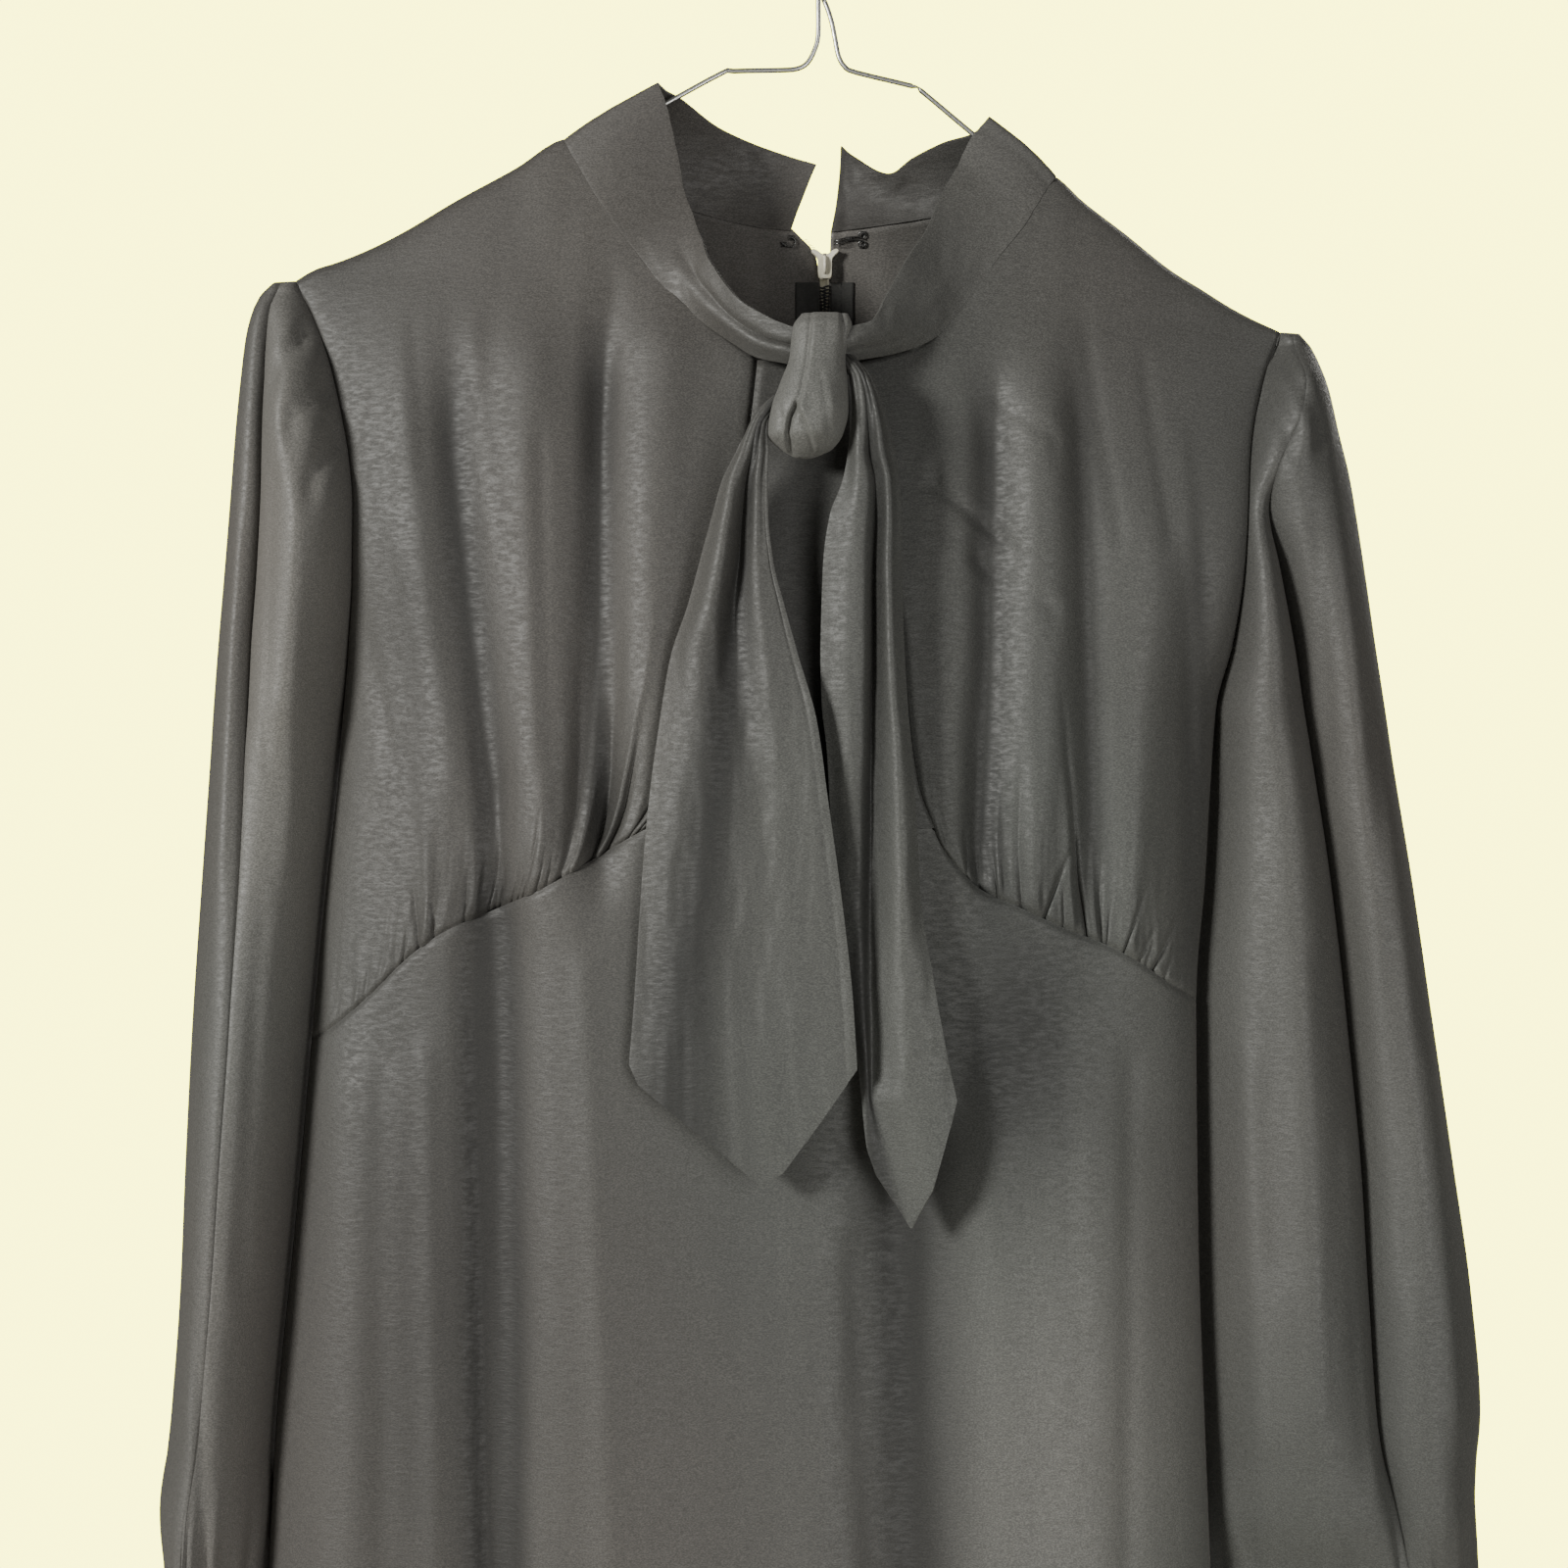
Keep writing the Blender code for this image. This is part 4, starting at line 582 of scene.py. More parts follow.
# Gathers of a bust panel: place on the seam, how far up it runs, height, half width, lean.
GATHERS = {
    "left": [
        (-179.0, 10, -1.2, 0.7, 0.0), (-171.7, 24, -1.5, 1.0, -0.2), (-168.6, 60, 1.7, 2.2, -0.1),
        (-165.2, 14, -1.1, 0.7, -0.2), (-152.7, 14, -1.2, 0.7, -0.1), (-148.6, 80, 2.4, 3.0, -0.12),
        (-142.5, 12, -1.0, 0.6, 0.0), (-139.6, 62, -1.9, 2.8, -0.08), (-137.3, 15, -1.3, 0.6, -0.1),
        (-132.0, 9, -1.0, 0.6, 0.0), (-129.2, 12, -1.2, 0.6, 0.1), (-126.8, 24, -1.5, 0.8, 0.05),
        (-124.0, 90, 2.4, 4.6, 0.0), (-121.5, 14, -1.1, 0.7, 0.0), (-117.0, 10, -0.9, 0.6, -0.1),
        (-112.0, 70, -2.4, 2.3, 0.02), (-106.0, 80, 2.4, 2.0, 0.03), (-107.6, 8, -1.0, 0.5, 0.0),
        (-99.4, 90, -3.4, 2.0, 0.02), (-96.0, 66, 2.8, 1.1, 0.1), (-92.6, 60, -2.6, 1.5, 0.05),
        (-83.8, 13, -1.8, 0.8, 0.2), (-80.2, 8, -0.9, 0.6, 0.2),
    ],
    "right": [
        (58.0, 16, -1.2, 0.9, 0.1), (63.6, 90, -3.4, 3.8, 0.0), (72.5, 42, 1.6, 1.6, 0.0),
        (70.9, 11, -1.3, 0.6, 0.0), (81.0, 46, -2.1, 1.7, 0.0), (87.0, 60, 1.4, 2.8, 0.05),
        (90.6, 27, -2.2, 0.9, 0.35), (98.4, 12, -1.3, 0.7, 0.05), (103.0, 50, 1.8, 2.0, -0.05),
        (109.2, 56, -2.9, 0.9, -0.14), (113.0, 30, 1.0, 1.2, -0.05), (115.4, 22, -1.5, 0.8, 0.0),
        (117.6, 14, -1.2, 0.6, 0.1), (127.6, 90, 2.4, 4.6, 0.0), (124.9, 19, -2.2, 0.7, 0.27),
        (131.3, 12, -1.4, 0.7, 0.4), (134.4, 8, -1.0, 0.6, 0.3), (137.8, 19, -2.3, 0.8, 0.37),
        (143.0, 10, -1.1, 0.7, 0.3),
    ],
}


def gather_dip(side, seam_x, up):
    """Gathers: sharp creases and soft ridges that start at the seam and fade up the panel."""
    total = 0.0
    for k, (x, rise, height, half_width, lean) in enumerate(GATHERS[side]):
        if up > 2 * rise:
            continue
        wander = 0.6 * noise.noise(Vector((k * 3.7, up / 19, 4)))
        away = (seam_x - x - lean * up - wander) / (half_width * (0.85 + up / 70))
        if abs(away) > 4:
            continue
        fade = math.cos(math.pi / 4 * up / rise) ** 2
        if height > 0:
            fade *= 0.35 + 0.65 * min(up / 7, 1)
        total -= height * fade * math.exp(-abs(away) ** 1.7)
    puff = noise.noise(Vector((seam_x / 4.2, up / 44, 2.0)))
    puff += 0.5 * noise.noise(Vector((seam_x / 2.1, up / 15, 8.0)))
    puffed = math.exp(-up / 24) * (1 - math.exp(-up / 2.5))
    return total - (0.4 + 0.9 * puff) * puffed


def armhole_x(side, z):
    """The armhole's edge seen from the front, bent to end at the shoulder's tip."""
    tip_x, tip_z = SHOULDER_TIP[side]
    reach = min(max((z - tip_z + 10) / 10, 0), 1)
    return lerp(SIDES(side, z), tip_x, reach * reach)


def bust_panel(side):
    sign = SIGN[side]
    start, foot = SIDES(side, BACK_SEAM_Z[side]), TONGUE(side, TONGUE_FOOT_Z)
    shoulder = [(x, 0, SHOULDER("z", x)) for x in
                (lerp(SHOULDER_TIP[side][0], SHOULDER_NECK[side][0], k / 24) for k in range(25))]
    neck = spline([(x, 0, z) for x, z in FRONT_NECK[side]], 8)
    top_line = [Vector(p) for p in shoulder] + neck[1:]
    columns = 250
    corner_low = (start, UNDERBUST[side]("z", start)), (foot, UNDERBUST[side]("z", foot))
    corner_high = (top_line[0].x, top_line[0].z), (top_line[-1].x, top_line[-1].z)
    cache = {}

    def column(u):
        key = round(u * columns)
        if key not in cache:
            seam_x = lerp(start, foot, u)
            share = min(max(FAN[side]("top", seam_x), 0), 1)
            if key in (0, columns):
                share = key / columns
            high = along(top_line, share)
            cache[key] = (seam_x, UNDERBUST[side]("z", seam_x), high.x, high.z)
        return cache[key]

    def place(u, v):
        v = v ** 1.5 if v < 0.5 else lerp(0.5 ** 1.5, 1, (v - 0.5) * 2)
        seam_x, seam_z, high_x, high_z = column(u)
        outer_z = lerp(corner_low[0][1], corner_high[0][1], v)
        inner_z = lerp(corner_low[1][1], corner_high[1][1], v)
        outer_x, inner_x = armhole_x(side, outer_z), TONGUE(side, inner_z)
        x = (lerp(seam_x, high_x, v) + lerp(outer_x, inner_x, u)
             - lerp(lerp(corner_low[0][0], corner_low[1][0], u),
                    lerp(corner_high[0][0], corner_high[1][0], u), v))
        z = (lerp(seam_z, high_z, v) + lerp(outer_z, inner_z, u)
             - lerp(lerp(corner_low[0][1], corner_low[1][1], u),
                    lerp(corner_high[0][1], corner_high[1][1], u), v))
        spot = on_body("front", x, z)
        spot.y += gather_dip(side, seam_x, z - seam_z)
        spot.y += tuck(z - seam_z) + tuck(abs(x - inner_x))
        return spot

    piece = cloth(f"bust_{side}", columns, 130, place, CREPE_WALL, body_crepe, facing=(0, -1, 0),
                  tone=front_painted_light)
    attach(piece, "dress")
    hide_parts(f"bodice_front_{side}")
    return piece


bust_left = bust_panel("left")
bust_right = bust_panel("right")


# The skirt front with its tongue: the same crepe, cut in one with a narrow point that runs up
# between the bust panels to the neck. It hangs in a few long soft folds to a plain hem.
def across_body(x, z):
    left, right = SIDES("left", z), SIDES("right", z)
    return (2 * x - left - right) / (right - left)


def body_x(across, z):
    return lerp(SIDES("left", z), SIDES("right", z), (across + 1) / 2)


HEM_Z = -1230.0


def skirt_seam(x):
    """The height of the skirt front's upper seam, seen from the front."""
    left, right = TONGUE("left", TONGUE_FOOT_Z), TONGUE("right", TONGUE_FOOT_Z)
    if x <= left:
        return UNDERBUST["left"]("z", x)
    return TONGUE_FOOT_Z if x < right else UNDERBUST["right"]("z", x)


def skirt_front_place(u, v):
    edge_left, edge_right = (SIDES(side, BACK_SEAM_Z[side]) for side in ("left", "right"))
    top_x = lerp(edge_left, edge_right, u)
    top_z = skirt_seam(top_x)
    v = 1 - v
    z = lerp(top_z, HEM_Z, v ** 1.6)
    spot = on_body("front", body_x(across_body(top_x, top_z), z), z)
    left, right = TONGUE("left", TONGUE_FOOT_Z), TONGUE("right", TONGUE_FOOT_Z)
    if not left < top_x < right:
        spot.y += tuck(top_z - z)
    return spot


def tongue_place(u, v):
    top_z = lerp(-260.8, -262.8, u)
    v = v ** 1.5
    z = lerp(TONGUE_FOOT_Z, top_z, v)
    left, right = TONGUE("left", z), TONGUE("right", z)
    spot = on_body("front", lerp(left, right, u), z)
    spot.y += min(v / 0.06, 1) * (tuck(spot.x - left) + tuck(right - spot.x))
    spot.y += 2.0 * math.sin(math.pi * v) * math.sin(math.pi * u) ** 0.5
    return spot


skirt_front = cloth("skirt_front_cloth", 170, 130, skirt_front_place, CREPE_WALL, body_crepe,
                    facing=(0, -1, 0), tone=front_painted_light)
# The tongue is painted darker all over: painted shade, as where it lies between the ties.
tongue = cloth("tongue_cloth", 54, 90, tongue_place, CREPE_WALL, body_crepe, facing=(0, -1, 0),
               tone=lambda u, v, spot: -0.25)
for piece in (skirt_front, tongue):
    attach(piece, "dress")
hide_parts("skirt_front")


# The backs: two bodice backs and two skirt backs of the same crepe, plain, sewn to the fronts
# at the shoulders and sides and to each other below the zip. The zip's slit is open at its top.
BACK_NECK = {
    "left": [(-111.7, -160.2), (-104.0, -164.5), (-90.0, -171.0), (-70.0, -179.0),
             (-50.0, -185.0), (-30.0, -189.5), (-14.7, -191.4)],
    "right": [(96.9, -175.9), (80.0, -181.3), (62.0, -184.8), (45.0, -187.0), (30.0, -189.0),
              (12.0, -191.0), (2.8, -192.0)],
}
CENTRE_BACK = {
    "left": Table("z x", [(-800, -0.1), (-240, -0.1), (-219, -1.8), (-203, -4.0), (-191.4, -14.7)]),
    "right": Table("z x", [(-800, 0.1), (-240, 0.1), (-219, 1.9), (-203, 2.4), (-192.0, 2.8)]),
}


def nape_painted_light(u, v, spot):
    """Painted light: the backs are a little lighter round the zip's head, where they are seen inside the
    neck.
    """
    return 1.2 * math.exp(-(((spot.z + 218) / 42) ** 2) - ((spot.x + 8) / 55) ** 2)


def back_panel(side):
    low_z = BACK_SEAM_Z[side]
    edge, middle = SIDES(side, low_z), CENTRE_BACK[side]("x", low_z)
    shoulder = [Vector((x, 0, SHOULDER("z", x))) for x in
                (lerp(SHOULDER_TIP[side][0], SHOULDER_NECK[side][0], k / 24) for k in range(25))]
    top_line = shoulder + spline([(x, 0, z) for x, z in BACK_NECK[side]], 8)[1:]
    first, last = top_line[0], top_line[-1]
    columns = 120
    tops = [along(top_line, k / columns) for k in range(columns + 1)]

    def place(u, v):
        high = tops[round(u * columns)]
        outer_z, inner_z = lerp(low_z, first.z, v), lerp(low_z, last.z, v)
        outer_x, inner_x = armhole_x(side, outer_z), CENTRE_BACK[side]("x", inner_z)
        low_x = lerp(edge, middle, u)
        x = (lerp(low_x, high.x, v) + lerp(outer_x, inner_x, u)
             - lerp(low_x, lerp(first.x, last.x, u), v))
        z = (lerp(low_z, high.z, v) + lerp(outer_z, inner_z, u)
             - lerp(low_z, lerp(first.z, last.z, u), v))
        spot = on_body("back", x, z)
        spot.y -= tuck(z - low_z) + tuck(abs(x - inner_x)) * 0.6
        return spot

    piece = cloth(f"back_{side}", columns, 96, place, CREPE_WALL, body_crepe, facing=(0, 1, 0),
                  tone=nape_painted_light)
    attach(piece, "dress")
    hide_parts(f"bodice_back_{side}")
    return piece


def skirt_back_panel(side):
    low_z = BACK_SEAM_Z[side]

    def place(u, v):
        z = lerp(low_z, HEM_Z, (1 - v) ** 1.15)
        x = lerp(SIDES(side, z), SIGN[side] * 0.1, u)
        spot = on_body("back", x, z)
        spot.y -= tuck(low_z - z) + tuck(abs(x)) * 0.6
        return spot

    piece = cloth(f"skirt_back_{side}_cloth", 76, 80, place, CREPE_WALL, body_crepe, facing=(0, 1, 0))
    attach(piece, "dress")
    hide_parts(f"skirt_back_{side}")
    return piece


back_left, back_right = back_panel("left"), back_panel("right")
skirt_back_left, skirt_back_right = skirt_back_panel("left"), skirt_back_panel("right")


# The sleeves: long, full and set in with a few gathers at the head, in the same crepe. Each
# hangs with one deep fold down its front and is gathered into its cuff.
SLEEVES = {
    "left": Table("z outer fold fold_y inner swell_in swell_out back", [
        (-228, -244.5, -237, -5, 0, 2, 3, 6), (-235, -247.8, -239, -8, 0, 5, 5, 10),
        (-246, -250.6, -240, -9, 0, 10, 7, 15), (-262, -252.6, -240.5, -10, 0, 15, 8, 19),
        (-285, -254.9, -241, -12, 0, 20, 9, 22), (-315, -257.2, -241.5, -13, 0, 23, 10, 25),
        (-350, -260.0, -243, -14, 0, 24, 11, 27), (-380, -262.5, -245, -15, 0, 24, 12, 29),
        (-405, -264.4, -246, -16, -209.4, 24, 12, 30),
        (-430, -266.0, -247, -20, -212.4, 22, 12, 31),
        (-480, -269.5, -248, -27, -217.6, 18, 12, 34),
        (-540, -273.5, -250, -36, -223.4, 14, 12, 38),
        (-600, -276.5, -254, -38, -228.8, 12, 11, 40),
        (-660, -279.0, -258, -38, -234.6, 11, 10, 40),
        (-710, -282.7, -263, -37, -239.6, 10, 9, 40),
        (-750, -286.2, -268, -36, -242.4, 8, 8, 40),
        (-778, -285.0, -270, -36, -245.0, 6, 6, 38),
    ]),
    "right": Table("z outer fold fold_y inner swell_in swell_out back", [
        (-250, 209.3, 201.5, -5, 0, 1, 2, 4), (-257, 212.8, 202, -12, 0, 4, 5, 10),
        (-268, 217.0, 203, -22, 0, 6, 6, 16), (-288, 221.6, 198, -28, 0, 5, 9, 20),
        (-305, 225.8, 191, -24, 0, 4, 14, 22), (-320, 228.4, 188.5, -15, 0, 5, 20, 24),
        (-346, 232.3, 194, -9, 0, 14, 24, 26), (-380, 237.2, 201, -6, 0, 22, 25, 27),
        (-408, 241.5, 205.2, -6, 171.2, 25, 24, 28),
        (-430, 244.7, 208.8, -6, 169.0, 28, 24, 28),
        (-480, 252.8, 216.5, -6, 166.2, 30, 26, 29),
        (-540, 261.5, 223.6, -6, 162.8, 30, 26, 30),
        (-600, 270.2, 229.0, -8, 162.9, 30, 26, 30),
        (-660, 278.6, 232.0, -10, 163.9, 30, 26, 30),
        (-710, 282.5, 235.0, -12, 165.9, 28, 24, 28),
        (-750, 279.0, 242.5, -14, 167.9, 20, 18, 22),
        (-778, 281.0, 249.0, -15, 169.6, 8, 8, 16),
    ]),
}
CAP_FOLDS = {
    "left": ("top_x top_z bottom_x bottom_z half_width height", [
        (-224.0, -250, -234.0, -264, 4, -5.0), (-213.0, -273, -226.0, -285, 4, -4.0),
        (-209.0, -294, -217.0, -312, 4, -4.0), (-231.0, -262, -231.0, -300, 6, 4.0),
    ]),
    "right": ("top_x top_z bottom_x bottom_z half_width height", [
        (195.0, -256, 207.0, -290, 4, -4.0), (189.0, -276, 196.0, -292, 4, -3.5),
        (201.0, -268, 204.0, -290, 5, 3.0),
    ]),
}
CAP_TOP = {"left": (-238.5, -222.4), "right": (204.5, -244.6)}
CUFF_TOP_Z = -783.5
GATHER_RISE = 55
SLEEVE_CREASES = {
    "left": ("top_x top_z bottom_x bottom_z half_width height", [
        (-232.0, -300, -236.0, -420, 3.0, -1.2), (-222.0, -330, -228.0, -470, 4.0, 1.2),
        (-250.0, -340, -256.0, -470, 3.0, 1.0), (-238.0, -500, -246.0, -640, 4.0, -1.4),
        (-262.0, -560, -268.0, -700, 3.5, 1.1), (-262.0, -690, -262.0, -778, 3.0, -1.6),
    ]),
    "right": ("top_x top_z bottom_x bottom_z half_width height", [
        (214.0, -300, 224.0, -420, 4.0, 1.2), (206.0, -330, 214.0, -420, 3.0, -1.2),
        (186.0, -430, 190.0, -640, 7.0, -1.8), (232.0, -430, 246.0, -640, 5.0, -1.5),
        (200.0, -520, 206.0, -700, 5.0, 1.4), (222.0, -600, 232.0, -730, 4.0, 1.3),
        (178.0, -560, 184.0, -720, 5.0, 1.5), (256.0, -560, 266.0, -700, 5.0, 1.4),
    ]),
}


def armhole_spot(face, side, z):
    return on_body(face, armhole_x(side, z), z) + Vector((SIGN[side] * 0.5, 0, 0))


def sleeve_spot(side, u, z):
    """A place on a sleeve: u goes from its inner edge round the front and the back to it again."""
    table = SLEEVES[side]
    outer, fold, fold_y = table("outer", z), table("fold", z), table("fold_y", z)
    reach = min(max((z - UNDERARM_Z[side]) / 14, 0), 1)
    below = min(max((UNDERARM_Z[side] - z) / 40, 0), 1)
    low = Vector((SIDES(side, z) + SIGN[side] * (1.0 + 0.2 * below), 8.5 * below, z))
    if z > UNDERARM_Z[side]:
        low = Vector((SIDES(side, z) + SIGN[side] * 0.5, 0, z))
    front, back = (low.lerp(armhole_spot(face, side, z), reach) for face in ("front", "back"))
    if u < 0.3:
        s = (1 - math.cos(math.pi * u / 0.3)) / 2
        boxy = lerp(1, 0.45, below) if side == "left" else 1
        swell = table("swell_in", z) * lerp(1, 0.5, below * (side == "left"))
        swell *= math.sin(math.pi * s) ** 0.7
        spot = Vector((lerp(front.x, fold, s), lerp(front.y, fold_y, s ** boxy) - swell, z))
    elif u < 0.55:
        s = (1 - math.cos(math.pi * (u - 0.3) / 0.25)) / 2
        swell = table("swell_out", z) * math.sin(math.pi * s) ** 0.7
        spot = Vector((lerp(fold, outer, s), lerp(fold_y, 0, s) - swell, z))
    else:
        s = (1 - math.cos(math.pi * (u - 0.55) / 0.45)) / 2
        swell = table("back", z) * math.sin(math.pi * s) ** 0.6
        swell *= 1 - 0.3 * math.exp(-(((s - 0.5) / 0.13) ** 2))
        spot = Vector((lerp(outer, back.x, s), lerp(0, back.y, s) + swell, z))
    side_way = 1 if u > 0.55 else -1
    ends = min(u, 1 - u, abs(u - 0.55)) / 0.06
    soft = min(ends, 1)
    out = unevenness(spot.x * 1.4, z, 11 if side == "left" else 17) * 0.8
    if u < 0.55:
        out += fold_height(SLEEVE_CREASES[side], spot.x, z, 25)
        if z > UNDERARM_Z[side]:
            out += fold_height(CAP_FOLDS[side], spot.x, z, 16)
    spot.y += side_way * out * soft
    return spot


def sleeve_place(side):
    table = SLEEVES[side]
    top_z = table.keys[-1]
    tip_x, tip_z = SHOULDER_TIP[side]
    cap_end = Vector((CAP_TOP[side][0], 0, CAP_TOP[side][1]))
    cap_start = Vector((tip_x + SIGN[side] * 0.5, 0, tip_z - 0.4))
    gather_z = CUFF_TOP_Z + GATHER_RISE
    middle = Vector(((table("outer", CUFF_TOP_Z) + table("inner", CUFF_TOP_Z)) / 2, 0, 0))

    def place(u, v):
        if v > 0.94:
            t = (v - 0.94) / 0.06
            low = sleeve_spot(side, u, top_z)
            share = u / 0.55 if u < 0.55 else (1 - u) / 0.45
            ridge = cap_start.lerp(cap_end, (1 - math.cos(math.pi * share)) / 2)
            spot = low.lerp(ridge, t)
            spot.y = low.y * math.sqrt(max(0, 1 - t * t))
            return spot
        z = lerp(CUFF_TOP_Z + 0.2, top_z, v / 0.94)
        spot = sleeve_spot(side, u, z)
        share = max(0, (gather_z - z) / GATHER_RISE)
        if share:
            outward = Vector((spot.x, spot.y, 0)) - middle
            if outward.length > 0.01:
                wave = math.sin(2 * math.pi * (17 * u + 0.35 * math.sin(9 * u)))
                wave += 0.5 * math.sin(2 * math.pi * 29 * u + 1.3)
                puff = 2.2 * math.sin(math.pi * min(share * 1.15, 1)) * 0.6
                spot += outward.normalized() * (wave * 1.15 * share ** 1.6 + puff)
        near = min(u, 1 - u) * 300
        if z > UNDERARM_Z[side] + 4:
            spot.y -= math.copysign(tuck(near), spot.y)
        return spot

    return place


# Painted light down the front of the left sleeve; the right sleeve gets none.
def sleeve_painted_light(side):
    def tone(u, v, spot):
        return 1.4 * math.exp(-(((u - 0.2) / 0.2) ** 2)) * (side == "left")

    return tone


for side in ("left", "right"):
    sleeve = cloth(f"sleeve_{side}_cloth", 124, 130, sleeve_place(side), CREPE_WALL, body_crepe, weld=True,
                   tone=sleeve_painted_light(side))
    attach(sleeve, "dress")
    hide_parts(f"sleeve_{side}")
    width, area = {"left": (0.19, 0.096), "right": (0.25, 0.126)}[side]


# The cuffs: a thick plain band of the crepe, about 46 mm deep, with rounded edges. It laps over
# the foot of the gathered sleeve.
def cuff_place(side):
    def place(u, v):
        top = sleeve_spot(side, u, CUFF_TOP_Z + 0.01)
        ring = sleeve_spot(side, u, CUFF_TOP_Z + 30)
        swell = math.sin(math.pi * v) * 0.7
        middle_x = (SLEEVES[side]("outer", CUFF_TOP_Z) + SLEEVES[side]("inner", CUFF_TOP_Z)) / 2
        outward = Vector((top.x - middle_x, top.y, 0))
        spot = Vector((top.x, top.y, lerp(CUFF_TOP_Z - 45.1, CUFF_TOP_Z + 0.8, v)))
        spot += outward.normalized() * (0.5 + swell + 0.4 * noise.noise(ring * 0.05))
        return spot

    return place


def turned_edge(piece, width):
    """Rounds the outer edges of a band, as where doubled cloth is turned."""
    edge = piece.modifiers.new("turned_edge", "BEVEL")
    edge.width = width * MM
    edge.segments = 3
    edge.limit_method = "ANGLE"
    edge.angle_limit = math.radians(50)


band_crepe = crepe("band_crepe", grain=1.1)
for side in ("left", "right"):
    cuff = cloth(f"cuff_{side}_band", 96, 26, cuff_place(side), 2.0, band_crepe, weld=True)
    turned_edge(cuff, 0.7)
    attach(cuff, "dress")
    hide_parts(f"cuff_{side}")
    width, area = {"left": (0.17, 0.0076), "right": (0.24, 0.0107)}[side]


# The neck band: each half is a doubled strip of the crepe, sewn round the neck from the centre
# back to the front, where it goes into the knot. Its free edge is a soft fold.
BANDS = {
    "left": ("face foot_x foot_z lift top_x top_y top_z", [
        ("back", -14.9, -191.2, 0, -3.7, 38, -161.4), ("back", -30, -189.5, 0, -18.2, 36, -157.5),
        ("back", -50, -185, 0, -33.5, 31, -153.2), ("back", -70, -179, 0, -48.5, 22, -148.2),
        ("back", -90, -171, 0, -61.4, 10, -141.1), ("back", -104, -164.5, 0, -69.1, 0, -139.2),
        ("front", -111.7, -160.2, 0, -72.2, -6, -138.0),
        ("front", -107, -170, 0, -69.5, -6, -144.5),
        ("front", -100.4, -182, 0, -67.5, -5, -152.5),
        ("front", -93.5, -193.5, 0, -64, -5, -168),
        ("front", -86, -204.4, 0, -60.9, -8, -185.1), ("front", -78, -215, 0, -57.7, -13, -194),
        ("front", -70.1, -225.6, 0, -55.4, -18, -202), ("front", -61, -234.5, 0, -52.4, -25, -211),
        ("front", -52.5, -242.8, 1, -49.5, -33, -220), ("front", -38.9, -254, 4, -38.5, -45, -237),
        ("front", -29.5, -260.8, 9, -25.5, -51, -246.3),
        ("front", -17.8, -264.6, 16, -15.5, -54, -250.8),
        ("front", -11.0, -266.0, 17, -10.0, -54.5, -252.0),
    ]),
    "right": ("face foot_x foot_z lift top_x top_y top_z", [
        ("back", 3.0, -191.8, 0, 7.3, 38, -154.8), ("back", 12, -191, 0, 13.5, 37, -160.0),
        ("back", 30, -189, 0, 27.7, 32, -168.2), ("back", 45, -187, 0, 38.2, 25, -162.8),
        ("back", 62, -184.8, 0, 50.5, 14, -158.9), ("back", 80, -181.3, 0, 63.9, 4, -156.8),
        ("front", 96.9, -175.9, 0, 69.6, -6, -152.5),
        ("front", 94.5, -181, 0, 66, -6, -156.5), ("front", 91.2, -186.5, 0, 62.5, -6, -160.8),
        ("front", 86.8, -194, 0, 59, -6, -167.5), ("front", 82.2, -201.3, 0, 55.9, -7.5, -174.5),
        ("front", 71.2, -215.2, 0, 49, -14, -187), ("front", 58.2, -234.5, 0, 42, -24, -204.4),
        ("front", 49.8, -245.4, 0, 33.1, -35, -219.4), ("front", 39.4, -254, 2, 24.5, -43, -235.6),
        ("front", 24.9, -259.2, 7, 18.9, -49, -246.7),
        ("front", 10.4, -263.4, 16, 10.9, -53, -250.7),
        ("front", 3.0, -265.4, 17, 4.0, -54.5, -252.0),
    ]),
}
NECK_MIDDLE = Vector((-8.0, 0.0, 0.0))


def collar_place(side):
    feet, tops = [], []
    for face, foot_x, foot_z, lift, top_x, top_y, top_z in BANDS[side][1]:
        foot = on_body(face, foot_x, foot_z) + Vector((0, -lift, 0))
        top = Vector((top_x, top_y, top_z))
        feet.append(foot - (top - foot).normalized() * (1.2 if lift < 2 else 0))
        tops.append(top)
    steps = 10
    feet, tops = spline(feet, steps), spline(tops, steps)
    last = len(feet) - 1

    def place(u, v):
        at = u * last
        i = min(int(at), last - 1)
        foot, top = feet[i].lerp(feet[i + 1], at - i), tops[i].lerp(tops[i + 1], at - i)
        outward = foot - NECK_MIDDLE
        outward.z = 0
        spot = foot.lerp(top, v)
        swell = 2.5 * math.sin(math.pi * v)
        swell += 0.7 * noise.noise(Vector((at / 16, v * 2.2, 3))) * math.sin(math.pi * v) ** 0.5
        swell += 0.35 * noise.noise(Vector((at / 5, v * 5, 9)))
        near_knot = min(max(0, (u - 0.62) / 0.3), 1) * (side == "left")
        fold_at = 0.62 - 0.12 * near_knot
        swell -= 2.6 * near_knot * math.exp(-(((v - fold_at) / 0.09) ** 2))
        swell -= 1.6 * near_knot * (0.5 + 0.5 * math.tanh((v - fold_at) / 0.08))
        swell += 0.8 * near_knot * math.exp(-(((v - fold_at + 0.2) / 0.12) ** 2))
        rolled = min(max(0, (u - 0.8) / 0.2), 1) * (side == "right")
        spot.y -= 6.5 * v * v * max(0, 1 - u / 0.33) * (side == "right")
        swell += rolled * (1.6 * math.sin(math.pi * v) - 1.2 * math.exp(-(((v - 0.3) / 0.08) ** 2)))
        return spot + outward.normalized() * swell

    return place, last


# Painted shade on the back part of the right neck band, inside the neck, and a little painted light on the
# rest of it; the left band gets none.
def band_painted_light(side):
    def tone(u, v, spot):
        return (0.4 - 1.2 * max(0, 1 - u / 0.5)) * (side == "right")

    return tone


